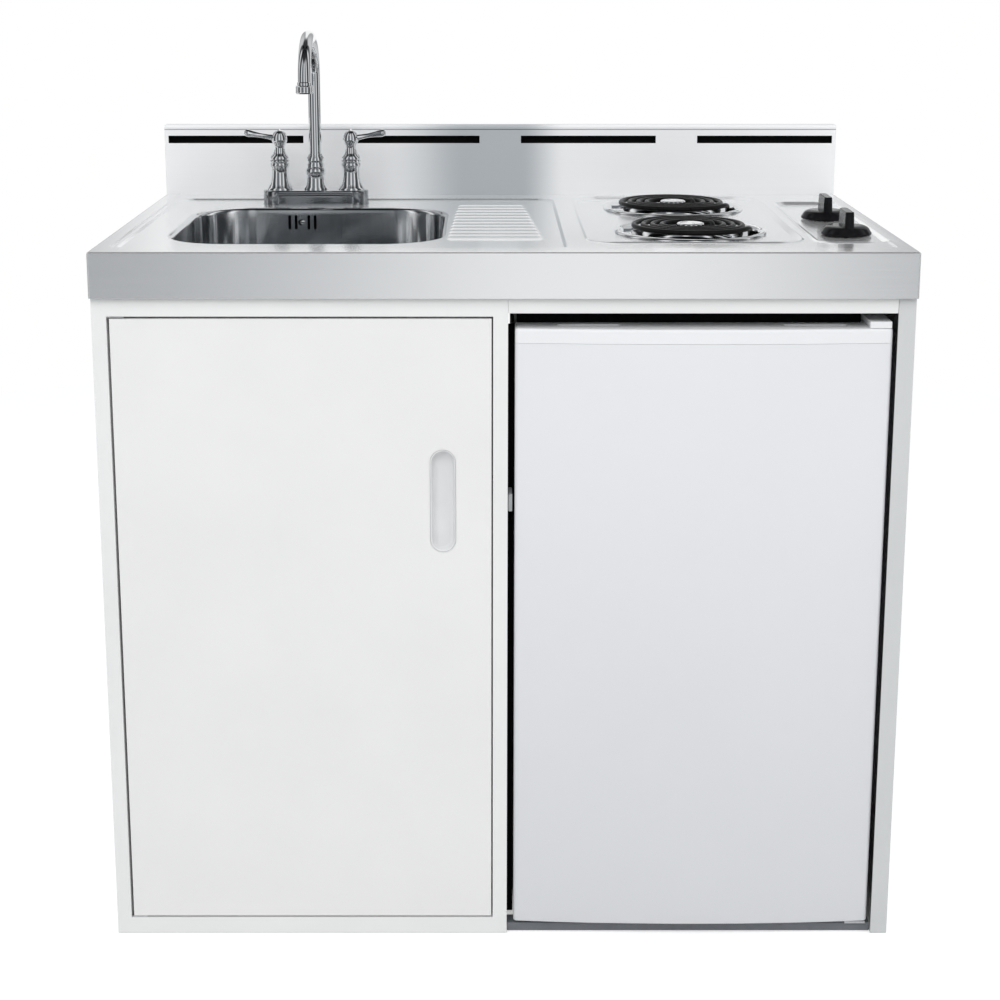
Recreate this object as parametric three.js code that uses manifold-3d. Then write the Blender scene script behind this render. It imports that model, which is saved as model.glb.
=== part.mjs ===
// A 990 mm kitchenette: a steel worktop with sink, drainboard and two coil burners over a painted
// cupboard with a door on the left and a compact refrigerator on the right.
// Millimetres. X to the right, Y to the back, Z up; the origin is on the floor under the middle.
import * as THREE from "three";
import { mergeVertices } from "three/addons/utils/BufferGeometryUtils.js";
import Module from "manifold-3d";

const wasm = await Module();
wasm.setup();

// ---------- Driving dimensions ----------

const SEAT_GAP = 0.3; // between a piece and what carries it
const PAST = 2; // how far a cutter runs past the surface that it opens

// Overall
const UNIT_WIDTH = 990;
const UNIT_DEPTH = 610;
const COUNTER_HEIGHT = 884;
const BACKSPLASH_HEIGHT = 101;

// Worktop
const STEEL = 1.2; // wall of the pressed and folded sheets
const APRON_HEIGHT = 56;
const RIM_SIDE_WIDTH = 21;
const RIM_FRONT_WIDTH = 36;
const RIM_RISE = 4;
const RIM_CORNER = 12;
const BACKSPLASH_DEPTH = 21;
const VENT_LENGTH = 199;
const VENT_HEIGHT = 11;
const VENT_PITCH = 260;
const VENT_BELOW_TOP = 21;
const VENT_COUNT = 4;
const DUCT_LENGTH = 880;
const DUCT_WIDTH = 10;

// Sink
const SINK_FROM_LEFT = 246; // the worktop's end to the bowl's middle
const SINK_FROM_FRONT = 273.5;
const SINK_WIDTH = 341;
const SINK_LENGTH = 347;
const SINK_DEPTH = 140;
const SINK_CORNER = 75;
const SINK_FLOOR_RADIUS = 34;
const SINK_LIP = 12;
const OVERFLOW_OFF_CENTRE = 33.5; // to the left of the bowl's middle
const OVERFLOW_BELOW_DECK = 20;
const OVERFLOW_SLOT_WIDTH = 4;
const OVERFLOW_SLOT_HEIGHT = 20;
const OVERFLOW_SLOT_PITCH = 9;
const OVERFLOW_BOX_WIDTH = 62;
const OVERFLOW_BOX_DEPTH = 16;
const OVERFLOW_BOX_HEIGHT = 42;
const OVERFLOW_LOW = 4; // the pipe's entry below the cup's middle
const OVERFLOW_PIPE_RADIUS = 9;
const OVERFLOW_SCREW_RADIUS = 4.2;

// Drain
const DRAIN_RADIUS = 41;
const DRAIN_FLANGE = 15; // past the cup
const DRAIN_HOLE_GAP = 1;
const FLANGE_HEIGHT = 1.6;
const DRAIN_CUP_DEPTH = 48;
const DRAIN_WALL = 2;
const OUTLET_RADIUS = 19;
const OUTLET_LENGTH = 26;
const TAIL_LENGTH = 100;
const TRAP_BEND = 46;
const TRAP_DROP = 45;
const TRAP_RISE = 20;
const ARM_BEND = 34;
const PIPE_WALL = 2;
const THREAD_GAP = 0.6;
const TRAP_TAKES = 28; // length of tailpiece inside the trap's mouth
const LOCK_NUT = 8;
const SLIP_NUT = 20;
const SLIP_NUT_WALL = 7;
const BASKET_DEPTH = 34;
const BASKET_GAP = 3;
const BASKET_WALL = 1.2;
const TRAP_LOOSENESS = 2; // between the outlet's radius and the trap's bore

// Faucet
const FAUCET_OFF_CENTRE = 17; // to the left of the bowl's middle
const FAUCET_BEHIND_BOWL = 61;
const HANDLE_SPACING = 102;
const FAUCET_BASE_LENGTH = 152;
const FAUCET_BASE_WIDTH = 50;
const FAUCET_BASE_HEIGHT = 20;
const TOWER_HEIGHT = 62;
const TOWER_FOOT_RADIUS = 20;
const TOWER_TOP_RADIUS = 12.5;
const HANDLE_HEIGHT = 42;
const HANDLE_NECK_RADIUS = 8;
const HANDLE_DOME_RADIUS = 11;
const LEVER_REACH = 51;
const LEVER_RISE = 9;
const LEVER_RADIUS = 4.2;
const COLLAR_WALL = 4.25;
const COLLAR_HEIGHT = 50;
const SPOUT_RADIUS = 8.75;
const SPOUT_WALL = 2.25;
const SPOUT_REACH = 147;
const SPOUT_TOP_ABOVE_DECK = 248;
const SPOUT_ARCH_HEIGHT = 59;
const AERATOR_WALL = 3.25; // past the spout's radius
const SPOUT_TIP = 3;
const AERATOR_HEIGHT = 11;
const SHANK_RADIUS = 10;
const SHANK_LENGTH = 55;
const SHANK_GAP = 1;
const CLAMP_BAR_WIDTH = 36;
const CLAMP_BAR = 3;

// Burners and their controls
const BURNERS_FROM_RIGHT = 253;
const FRONT_BURNER_FROM_FRONT = 203;
const BURNER_PITCH = 237;
const PAN_HOLE_RADIUS = 90;
const PAN_HOLE_GAP = 2;
const PAN_RIM = 7.5; // how far the pan's rim covers the deck round its hole
const PAN_DEPTH = 27;
const PAN_WALL = 0.9;
const PAN_SLOPE = 24; // from the pan's mouth in to the edge of its floor
const PAN_DRAIN_RADIUS = 22;
const TERMINAL_SIDE_GAP = 7; // from a terminal's middle to the side of the pan's notch
const PAN_RIM_RISE = 4;
const COIL_RADIUS = 78;
const COIL_INNER_RADIUS = 31;
const COIL_TUBE_RADIUS = 3.4;
const COIL_TURNS = 4;
const COIL_ABOVE_DECK = 9;
const TERMINAL_DROP = 27;
const TERMINAL_SPACING = 20;
const TERMINAL_PAST_PAN = 23;
const MEDALLION_RADIUS = 18;
const SUPPORT_ARM = 2.4; // thickness of each of the three arms under the coil
const SOCKET_LENGTH = 26;
const SOCKET_WIDTH = 46;
const SOCKET_HEIGHT = 26;
const SOCKET_MOUTH = 16;
const KNOBS_FROM_RIGHT = 58;
const FRONT_KNOB_FROM_FRONT = 173;
const KNOB_PITCH = 156;
const KNOB_RADIUS = 32;
const KNOB_SKIRT = 12;
const KNOB_GRIP = 19;
const KNOB_GRIP_WIDTH = 13;
const KNOB_ABOVE_DECK = 1.5;
const SHAFT_RADIUS = 3;
const SHAFT_CLEARANCE = 0.5;
const SHAFT_IN_KNOB = 14;
const SWITCH_SIZE = 40;
const SWITCH_HEIGHT = 34;
const HOB_BOX_PAST_PAN = 40; // from the burners' hole to the box's left wall
const HOB_BOX_FROM_FRONT = 69;
const HOB_BOX_FROM_BACK = 43;
const HOB_BOX_HEIGHT = 64;
const HOB_BOX_FLANGE = 12;

// Cabinet
const FRAME_SETBACK = 7;
const SIDE_INSET = 1.5; // how far the cabinet's sides stand inside the worktop's ends
const STILE_WIDTH = 18;
const RIGHT_STILE_WIDTH = 21;
const FRAME_DEPTH = 19;
const CUPBOARD_WIDTH = 499; // from the left side's face to the middle stile's right face
const BOTTOM_RAIL_HEIGHT = 22;
const FRAME_UNDER_TOP = 44; // the face frame's top, inside the apron
const TOP_RAIL_SHOWS = 23; // below the apron
const FRIDGE_RAIL_SHOWS = 19;
const RAIL_DEPTH = 16;
const SILL_HEIGHT = 11;
const SILL_DEPTH = 22;
const PIPE_CUTOUT_WIDTH = 160;
const PIPE_CUTOUT_HEIGHT = 200;

// Cupboard door
const DOOR_SIDE_GAP = 3;
const DOOR_TOP_GAP = 3.5;
const DOOR_THICKNESS = 18;
const DOOR_SHEET = 1;
const DOOR_PIVOT_INSET = 6;
const HINGE_PIN_RADIUS = 2;
const HINGE_PIN_LENGTH = 9;
const HINGE_PLATE = 1.6;
const PULL_WIDTH = 32;
const PULL_HEIGHT = 130;
const PULL_DEPTH = 13;
const PULL_FROM_RIGHT = 58;
const PULL_BELOW_RAIL = 229;
const PULL_WALL = 1.5;
const PULL_LIP = 2.5;
const CATCH_WIDTH = 14;
const CATCH_HEIGHT = 44;
const CATCH_DEPTH = 22;

// Refrigerator
const FRIDGE_LEFT_GAP = 8.2;
const FRIDGE_RIGHT_GAP = 4.5;
const FRIDGE_SETBACK = 55; // from the face frame's front
const FRIDGE_DEPTH = 460;
const FRIDGE_BOTTOM = 22;
const FRIDGE_SHEET = 1;
const INSULATION = 36;
const LINER = 1.5;
const MACHINE_DEPTH = 150; // compressor compartment, front to back
const MACHINE_HEIGHT = 160;
const BACK_OPENING_INSET = 12; // frame left round the machine compartment's open back
const LEDGE_DEPTH = 4;
const LEDGE_HEIGHT = 6;
const FRIDGE_DOOR_BOTTOM = 15;
const DOOR_UNDER_RAIL = 19;
const DOOR_OVER_SHELL = 5;
const FRIDGE_DOOR_THICKNESS = 44;
const FRIDGE_DOOR_BOW = 9;
const DOOR_CAP_HEIGHT = 18;
const GASKET_WIDTH = 16;
const GASKET_DEPTH = 7.5; // between the door's back and the cabinet's front
const SCOOP_FROM_SIDE = 90; // the cap's two finger scoops
const SCOOP_LENGTH = 80;
const SCOOP_DEPTH = 4;
const DOOR_PIVOT = 8; // from the door's right edge and from its front edge
const HINGE_RADIUS = 4;
const HINGE_WIDTH = 26;
const HINGE_OVER_SHELL = 60; // how far the plates reach back from the refrigerator's front
const FOOT_RADIUS = 15;
const LEFT_FOOT_INSET = 24;
const RIGHT_FOOT_INSET = 44; // clear of the lower hinge
const FOOT_SETBACK = 26;
const CLIP_Z = 571;
const CLIP_HEIGHT = 22;
const CLIP_THICKNESS = 5.2;
const RACK_DEPTH = 62;
const LID_DEPTH = 22; // how far the door liner's raised rim reaches into the cabinet
const RACK_INSET = 22;
const RACK_HEIGHT = 34;
const RACK_WALL = 3;
const UPPER_RACK_RISE = 378; // from the lower rack's floor to the upper one's
const BOTTLE_RAIL_RISE = 62;
const BOTTLE_RAIL_RADIUS = 2;
const GASKET_INSET = 6;
const COMPRESSOR_RADIUS = 58;
const COMPRESSOR_HEIGHT = 118;
const CONDENSER_TUBE = 2.6;
const CONDENSER_OFF_BACK = 15.8;
const CONDENSER_INSET = 60; // least height between the coil and the back's ends
const CONDENSER_PITCH = 56;
const CONDENSER_FROM_SIDE = 57; // the straight runs' ends
const FREEZER_HEIGHT = 96;
const FREEZER_DEPTH = 250;
const FREEZER_WALL = 2;
const FREEZER_SIDE_GAP = 8;
const FLAP_THICKNESS = 4;
const FLAP_INSET = 3;
const FLAP_PIN_RADIUS = 1.4;
const FLAP_PIN_GAP = 0.4;
const TRAY_HEIGHT = 26;
const TRAY_WALL = 1.5;
const SHELF_Z = 400;
const SHELF_WIRE = 2.4;
const SHELF_WIRES = 13;
const SHELF_SETBACK = 66; // from the refrigerator's front
const SHELF_SIDE_GAP = 1.5;
const THERMOSTAT_KNOB_RADIUS = 14;
const THERMOSTAT_WIDTH = 36;
const THERMOSTAT_HEIGHT = 48;
const THERMOSTAT_DEPTH = 90;
const THERMOSTAT_SHAFT = 2.4;

// ---------- Values worked out from them ----------

const LEFT = -UNIT_WIDTH / 2;
const RIGHT = UNIT_WIDTH / 2;
const FRONT = -UNIT_DEPTH / 2;
const BACK = UNIT_DEPTH / 2;
const DECK = COUNTER_HEIGHT - RIM_RISE;
const DECK_UNDERSIDE = DECK - STEEL;
const UNDER_DECK = DECK_UNDERSIDE - SEAT_GAP;
const SPLASH_FRONT = BACK - BACKSPLASH_DEPTH;
const CABINET_FRONT = FRONT + FRAME_SETBACK;
const CABINET_BACK = BACK - STEEL - SEAT_GAP;
const CABINET_LEFT = LEFT + SIDE_INSET;
const CABINET_RIGHT = RIGHT - SIDE_INSET;
const CUPBOARD_RIGHT = CABINET_LEFT + CUPBOARD_WIDTH;
const BAY_LEFT = CUPBOARD_RIGHT + SEAT_GAP;
const BAY_RIGHT = CABINET_RIGHT - RIGHT_STILE_WIDTH;
const PANEL_FRONT = CABINET_FRONT + FRAME_DEPTH + SEAT_GAP;
const APRON_BOTTOM = COUNTER_HEIGHT - APRON_HEIGHT;
const FRAME_HEIGHT = COUNTER_HEIGHT - FRAME_UNDER_TOP;
const TOP_RAIL_BOTTOM = APRON_BOTTOM - TOP_RAIL_SHOWS;
const FRIDGE_RAIL_BOTTOM = APRON_BOTTOM - FRIDGE_RAIL_SHOWS;
const FRIDGE_LEFT = BAY_LEFT + FRIDGE_LEFT_GAP;
const FRIDGE_RIGHT = BAY_RIGHT - FRIDGE_RIGHT_GAP;
const FRIDGE_MIDDLE = (FRIDGE_LEFT + FRIDGE_RIGHT) / 2;
const FRIDGE_FRONT = CABINET_FRONT + FRIDGE_SETBACK;
const FRIDGE_BACK = FRIDGE_FRONT + FRIDGE_DEPTH;
const FRIDGE_DOOR_TOP = FRIDGE_RAIL_BOTTOM - DOOR_UNDER_RAIL;
const FRIDGE_TOP = FRIDGE_DOOR_TOP - DOOR_OVER_SHELL;
const SINK_X = LEFT + SINK_FROM_LEFT;
const SINK_Y = FRONT + SINK_FROM_FRONT;
const SINK_BACK = SINK_Y + SINK_LENGTH / 2;
const SINK_FLOOR = DECK - SINK_DEPTH;
const OVERFLOW_X = SINK_X - OVERFLOW_OFF_CENTRE;
const FAUCET_X = SINK_X - FAUCET_OFF_CENTRE;
const FAUCET_Y = SINK_BACK + FAUCET_BEHIND_BOWL;
const SPOUT_BORE = SPOUT_RADIUS - SPOUT_WALL;
const COLLAR_RADIUS = SPOUT_RADIUS + COLLAR_WALL;
const AERATOR_RADIUS = SPOUT_RADIUS + AERATOR_WALL;
const BURNER_X = RIGHT - BURNERS_FROM_RIGHT;
const BURNER_FRONT_Y = FRONT + FRONT_BURNER_FROM_FRONT;
const BURNER_REAR_Y = BURNER_FRONT_Y + BURNER_PITCH;
const PAN_RADIUS = PAN_HOLE_RADIUS + PAN_RIM;
const PAN_INNER = PAN_HOLE_RADIUS - PAN_HOLE_GAP;
const TERMINAL_TIP = PAN_HOLE_RADIUS + TERMINAL_PAST_PAN;
const KNOB_X = RIGHT - KNOBS_FROM_RIGHT;
const KNOB_FRONT_Y = FRONT + FRONT_KNOB_FROM_FRONT;
const KNOB_REAR_Y = KNOB_FRONT_Y + KNOB_PITCH;
const HOB_BOX_LEFT = BURNER_X - PAN_HOLE_RADIUS - HOB_BOX_PAST_PAN;
const HOB_BOX_FRONT = FRONT + HOB_BOX_FROM_FRONT;
const HOB_BOX_BACK = BACK - HOB_BOX_FROM_BACK;

// ---------- Shaping ----------

function solid(geometry) {
  const bare = geometry.clone();
  bare.deleteAttribute("normal");
  bare.deleteAttribute("uv");
  const merged = mergeVertices(bare, 1e-4);
  return new wasm.Manifold(
    new wasm.Mesh({
      numProp: 3,
      vertProperties: merged.attributes.position.array,
      triVerts: new Uint32Array(merged.index.array),
    }),
  );
}

function geometryOf(manifold) {
  const mesh = manifold.getMesh();
  const geometry = new THREE.BufferGeometry();
  geometry.setAttribute("position", new THREE.BufferAttribute(mesh.vertProperties, 3));
  geometry.setIndex(new THREE.BufferAttribute(mesh.triVerts, 1));
  const shaded = geometry.toNonIndexed();
  shaded.computeVertexNormals();
  return shaded;
}

// A block between two corners, given as [from, to] along each axis.
function block([x0, x1], [y0, y1], [z0, z1]) {
  const box = new THREE.BoxGeometry(x1 - x0, y1 - y0, z1 - z0);
  box.translate((x0 + x1) / 2, (y0 + y1) / 2, (z0 + z1) / 2);
  return solid(box);
}

// A block whose upright edges are rounded.
function roundedBlock([x0, x1], [y0, y1], [z0, z1], radius, segments = 2) {
  return prism(roundedOutline(x1 - x0, y1 - y0, radius), z0, z1, segments)
    .translate([(x0 + x1) / 2, (y0 + y1) / 2, 0]);
}

function roundedOutline(width, length, radius) {
  const w = width / 2;
  const h = length / 2;
  const outline = new THREE.Shape();
  outline.moveTo(-w + radius, -h);
  outline.lineTo(w - radius, -h);
  outline.absarc(w - radius, -h + radius, radius, -Math.PI / 2, 0, false);
  outline.lineTo(w, h - radius);
  outline.absarc(w - radius, h - radius, radius, 0, Math.PI / 2, false);
  outline.lineTo(-w + radius, h);
  outline.absarc(-w + radius, h - radius, radius, Math.PI / 2, Math.PI, false);
  outline.lineTo(-w, -h + radius);
  outline.absarc(-w + radius, -h + radius, radius, Math.PI, Math.PI * 1.5, false);
  return outline;
}

// An outline in X and Y, raised from z0 to z1.
function prism(outline, z0, z1, segments = 4) {
  const raised = new THREE.ExtrudeGeometry(outline, {
    depth: z1 - z0,
    bevelEnabled: false,
    curveSegments: segments,
  });
  raised.translate(0, 0, z0);
  return solid(raised);
}

// An outline in Y and Z, drawn from x0 to x1.
function crosswise(points, x0, x1) {
  const outline = new THREE.Shape(points.map(([y, z]) => new THREE.Vector2(y, z)));
  const raised = new THREE.ExtrudeGeometry(outline, { depth: x1 - x0, bevelEnabled: false });
  const axes = new THREE.Matrix4().makeBasis(
    new THREE.Vector3(0, 1, 0),
    new THREE.Vector3(0, 0, 1),
    new THREE.Vector3(1, 0, 0),
  );
  raised.applyMatrix4(axes);
  raised.translate(x0, 0, 0);
  return solid(raised);
}

// A closed profile of [radius, height] points, listed anticlockwise, turned about an upright axis.
function turned(profile, x, y, z, sides = 24) {
  const points = [...profile, profile[0]].map(([r, h]) => new THREE.Vector2(r, h));
  const lathe = new THREE.LatheGeometry(points, sides);
  lathe.rotateX(Math.PI / 2);
  lathe.translate(x, y, z);
  return solid(lathe);
}

function cylinder(radius, z0, z1, x, y, sides = 16) {
  return turned([[0, z0], [radius, z0], [radius, z1], [0, z1]], x, y, 0, sides);
}

// A round section drawn along a path, with a bore where one is given.
function swept(path, radius, steps, sides, bore = 0) {
  const section = new THREE.Shape();
  section.absarc(0, 0, radius, 0, Math.PI * 2, false);
  if (bore) {
    const hole = new THREE.Path();
    hole.absarc(0, 0, bore, 0, Math.PI * 2, true);
    section.holes.push(hole);
  }
  // three.js gives an arc two points for each curve segment.
  return solid(
    new THREE.ExtrudeGeometry(section, { steps, extrudePath: path, curveSegments: sides / 2 }),
  );
}

// A folded sheet: a block emptied from one side, which leaves walls of the sheet's thickness.
function tray([x0, x1], [y0, y1], [z0, z1], wall, open) {
  const inner = {
    x: [x0 + wall, x1 - wall],
    y: [y0 + wall, y1 - wall],
    z: [z0 + wall, z1 - wall],
  };
  const [axis, side] = [open[1], open[0]];
  const outer = { x: [x0, x1], y: [y0, y1], z: [z0, z1] };
  if (side === "+") inner[axis][1] = outer[axis][1] + PAST;
  else inner[axis][0] = outer[axis][0] - PAST;
  return block(outer.x, outer.y, outer.z).subtract(block(inner.x, inner.y, inner.z));
}

// ---------- Materials ----------

function material(color, roughness, metalness) {
  return new THREE.MeshStandardMaterial({ color, roughness, metalness });
}

const stainless = material(0xc8cacb, 0.32, 1);
const chrome = material(0xe8e8ea, 0.08, 1);
const zinc = material(0xaeb2b4, 0.45, 1);
const whitePaint = material(0xe9eaea, 0.4, 0);
const whitePlastic = material(0xf2f2f2, 0.45, 0);
const doorPaint = material(0xeeeef2, 0.3, 0);
const darkSteel = material(0x3a3c3e, 0.5, 0.6);
const blackPlastic = material(0x141414, 0.3, 0);
const blackEnamel = material(0x101012, 0.55, 0.2);
const ceramic = material(0xd8d2c4, 0.7, 0);
const foam = material(0xe6d9a8, 0.9, 0);
const greyRubber = material(0xc9cbcc, 0.8, 0);
const greyPlastic = material(0xb8babb, 0.6, 0);
const wireWhite = material(0xf4f4f4, 0.35, 0);
const aluminium = material(0xd6d8da, 0.4, 1);

const unit = new THREE.Group();

function add(name, shape, surface, group = unit) {
  const mesh = new THREE.Mesh(geometryOf(shape), surface);
  mesh.name = name;
  group.add(mesh);
}

// ---------- Cabinet ----------

function cupboardFaceFrame() {
  const opening = {
    x: [CABINET_LEFT + STILE_WIDTH, CUPBOARD_RIGHT - STILE_WIDTH],
    z: [BOTTOM_RAIL_HEIGHT, TOP_RAIL_BOTTOM],
  };
  const depth = [CABINET_FRONT, CABINET_FRONT + FRAME_DEPTH];
  const hollow = [CABINET_FRONT + STEEL, CABINET_FRONT + FRAME_DEPTH + PAST];
  const through = [CABINET_FRONT - PAST, CABINET_FRONT + FRAME_DEPTH + PAST];
  const members = block([CABINET_LEFT, CUPBOARD_RIGHT], depth, [0, FRAME_HEIGHT])
    .subtract(block(opening.x, through, opening.z));
  const pocket = block(
    [CABINET_LEFT + STEEL, CUPBOARD_RIGHT - STEEL],
    hollow,
    [STEEL, FRAME_HEIGHT - STEEL],
  ).subtract(
    block(
      [opening.x[0] - STEEL, opening.x[1] + STEEL],
      [CABINET_FRONT, through[1] + PAST],
      [opening.z[0] - STEEL, opening.z[1] + STEEL],
    ),
  );
  return members.subtract(pocket);
}

function cupboardBackPanel() {
  const sheet = [CABINET_BACK - 2 * STEEL - SEAT_GAP, CABINET_BACK - STEEL - SEAT_GAP];
  const armZ = trapArmHeight();
  return block(
    [CABINET_LEFT + STEEL + SEAT_GAP, CUPBOARD_RIGHT - STEEL - SEAT_GAP],
    sheet,
    [STEEL + SEAT_GAP, FRAME_HEIGHT],
  ).subtract(
    block(
      [SINK_X - PIPE_CUTOUT_WIDTH / 2, SINK_X + PIPE_CUTOUT_WIDTH / 2],
      [sheet[0] - PAST, sheet[1] + PAST],
      [armZ - PIPE_CUTOUT_HEIGHT / 2, armZ + PIPE_CUTOUT_HEIGHT / 2],
    ),
  );
}

function cabinet() {
  const sideDepth = [PANEL_FRONT, CABINET_BACK];
  const full = [0, UNDER_DECK];
  add("cupboard_face_frame", cupboardFaceFrame(), whitePaint);
  add(
    "left_side_panel",
    tray([CABINET_LEFT, CABINET_LEFT + STILE_WIDTH], sideDepth, full, STEEL, "+x"),
    whitePaint,
  );
  add(
    "right_side_panel",
    tray([BAY_RIGHT, CABINET_RIGHT], [CABINET_FRONT, CABINET_BACK], full, STEEL, "-x"),
    whitePaint,
  );
  add(
    "centre_partition",
    tray([CUPBOARD_RIGHT - STILE_WIDTH, CUPBOARD_RIGHT], sideDepth, full, STEEL, "-x"),
    whitePaint,
  );
  add("cupboard_back_panel", cupboardBackPanel(), whitePaint);
  const floorBack = CABINET_BACK - 2 * (STEEL + SEAT_GAP);
  add(
    "cupboard_floor",
    tray(
      [CABINET_LEFT + STEEL + SEAT_GAP, CUPBOARD_RIGHT - STEEL - SEAT_GAP],
      [PANEL_FRONT + STEEL + SEAT_GAP, floorBack - STEEL],
      [STEEL + SEAT_GAP, BOTTOM_RAIL_HEIGHT],
      STEEL,
      "-z",
    ),
    whitePaint,
  );
  const bay = [BAY_LEFT, BAY_RIGHT - SEAT_GAP];
  add(
    "fridge_top_rail",
    tray(bay, [CABINET_FRONT, CABINET_FRONT + RAIL_DEPTH], [FRIDGE_RAIL_BOTTOM, FRAME_HEIGHT],
      STEEL, "+y"),
    whitePaint,
  );
  add(
    "fridge_bay_sill",
    tray(bay, [CABINET_FRONT + FRAME_SETBACK, CABINET_FRONT + FRAME_SETBACK + SILL_DEPTH],
      [0, SILL_HEIGHT], STEEL, "-z"),
    greyPlastic,
  );
}

// ---------- Worktop and backsplash ----------

function sinkOutline(grow) {
  return roundedOutline(SINK_WIDTH + 2 * grow, SINK_LENGTH + 2 * grow, SINK_CORNER + grow);
}

function worktop() {
  const body = block([LEFT, RIGHT], [FRONT, BACK], [APRON_BOTTOM, COUNTER_HEIGHT]);
  const below = APRON_BOTTOM - PAST;
  const above = COUNTER_HEIGHT + PAST;
  const inside = block(
    [LEFT + STEEL, RIGHT - STEEL],
    [FRONT + STEEL, BACK - STEEL],
    [below, DECK_UNDERSIDE],
  );
  const recess = roundedBlock(
    [LEFT + RIM_SIDE_WIDTH, RIGHT - RIM_SIDE_WIDTH],
    [FRONT + RIM_FRONT_WIDTH, BACK + RIM_CORNER + PAST],
    [DECK, above],
    RIM_CORNER,
  );
  const splashSeat = block(
    [LEFT - PAST, RIGHT + PAST],
    [SPLASH_FRONT - SEAT_GAP, BACK + PAST],
    [DECK, above],
  );
  let deck = body.subtract(inside).subtract(recess).subtract(splashSeat);
  deck = deck.subtract(
    prism(sinkOutline(0), below, above).translate([SINK_X, SINK_Y, 0]),
  );
  for (const y of [BURNER_FRONT_Y, BURNER_REAR_Y])
    deck = deck.subtract(cylinder(PAN_HOLE_RADIUS, below, above, BURNER_X, y, 40));
  for (const y of [KNOB_FRONT_Y, KNOB_REAR_Y])
    deck = deck.subtract(cylinder(SHAFT_RADIUS + SHAFT_CLEARANCE, below, above, KNOB_X, y, 12));
  for (const side of [-1, 1]) {
    const x = FAUCET_X + (side * HANDLE_SPACING) / 2;
    deck = deck.subtract(cylinder(SHANK_RADIUS + SHANK_GAP, below, above, x, FAUCET_Y, 12));
  }
  const ductMiddle = (SPLASH_FRONT + BACK) / 2;
  deck = deck.subtract(
    block(
      [-DUCT_LENGTH / 2, DUCT_LENGTH / 2],
      [ductMiddle - DUCT_WIDTH / 2, ductMiddle + DUCT_WIDTH / 2],
      [below, above],
    ),
  );
  add("worktop", deck, stainless);
}

function backsplash() {
  const top = COUNTER_HEIGHT + BACKSPLASH_HEIGHT;
  const bottom = DECK + SEAT_GAP;
  const coverFront = BACK - STEEL;
  let sheet = block([LEFT, RIGHT], [SPLASH_FRONT, coverFront - SEAT_GAP], [bottom, top]).subtract(
    block([LEFT + STEEL, RIGHT - STEEL], [SPLASH_FRONT + STEEL, BACK], [0, top - STEEL]),
  );
  const slotZ = [top - VENT_BELOW_TOP - VENT_HEIGHT / 2, top - VENT_BELOW_TOP + VENT_HEIGHT / 2];
  for (let i = 0; i < VENT_COUNT; i++) {
    const x = (i - (VENT_COUNT - 1) / 2) * VENT_PITCH;
    sheet = sheet.subtract(
      block([x - VENT_LENGTH / 2, x + VENT_LENGTH / 2],
        [SPLASH_FRONT - PAST, SPLASH_FRONT + STEEL + PAST], slotZ),
    );
  }
  add("backsplash", sheet, stainless);
  add("backsplash_rear_cover", block([LEFT, RIGHT], [coverFront, BACK], [bottom, top]), zinc);
}

// ---------- Sink and drain ----------

// The inside of the bowl, or with grow its outside: straight walls and a rounded foot.
function bowlSpace(grow, top) {
  const radius = SINK_FLOOR_RADIUS + grow;
  const shape = new THREE.ExtrudeGeometry(sinkOutline(grow), {
    depth: SINK_DEPTH + SINK_FLOOR_RADIUS,
    bevelThickness: radius,
    bevelSize: radius,
    bevelOffset: -radius,
    bevelSegments: 4,
    curveSegments: 4,
  });
  shape.translate(SINK_X, SINK_Y, SINK_FLOOR + SINK_FLOOR_RADIUS);
  const cutOff = block([LEFT, RIGHT], [FRONT, BACK], [top, COUNTER_HEIGHT + SINK_DEPTH]);
  return solid(shape).subtract(cutOff);
}

function sinkBowl() {
  const lip = prism(sinkOutline(SINK_LIP), UNDER_DECK - STEEL, UNDER_DECK)
    .translate([SINK_X, SINK_Y, 0]);
  let bowl = bowlSpace(STEEL, UNDER_DECK).add(lip).subtract(bowlSpace(0, COUNTER_HEIGHT));
  bowl = bowl.subtract(
    cylinder(DRAIN_RADIUS + DRAIN_HOLE_GAP, SINK_FLOOR - 2 * STEEL, SINK_FLOOR + PAST, SINK_X,
      SINK_Y, 24),
  );
  const middle = DECK - OVERFLOW_BELOW_DECK;
  for (const place of [-2, -1, 1, 2]) {
    const x = OVERFLOW_X + place * OVERFLOW_SLOT_PITCH;
    bowl = bowl.subtract(
      block(
        [x - OVERFLOW_SLOT_WIDTH / 2, x + OVERFLOW_SLOT_WIDTH / 2],
        [SINK_BACK - PAST, SINK_BACK + STEEL + PAST],
        [middle - OVERFLOW_SLOT_HEIGHT / 2, middle + OVERFLOW_SLOT_HEIGHT / 2],
      ),
    );
  }
  const screwHole = cylinder(OVERFLOW_SCREW_RADIUS / 2 + SEAT_GAP, -PAST, STEEL + PAST, 0, 0, 8)
    .rotate([-90, 0, 0])
    .translate([OVERFLOW_X, SINK_BACK, middle]);
  add("sink_bowl", bowl.subtract(screwHole), stainless);
}

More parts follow.
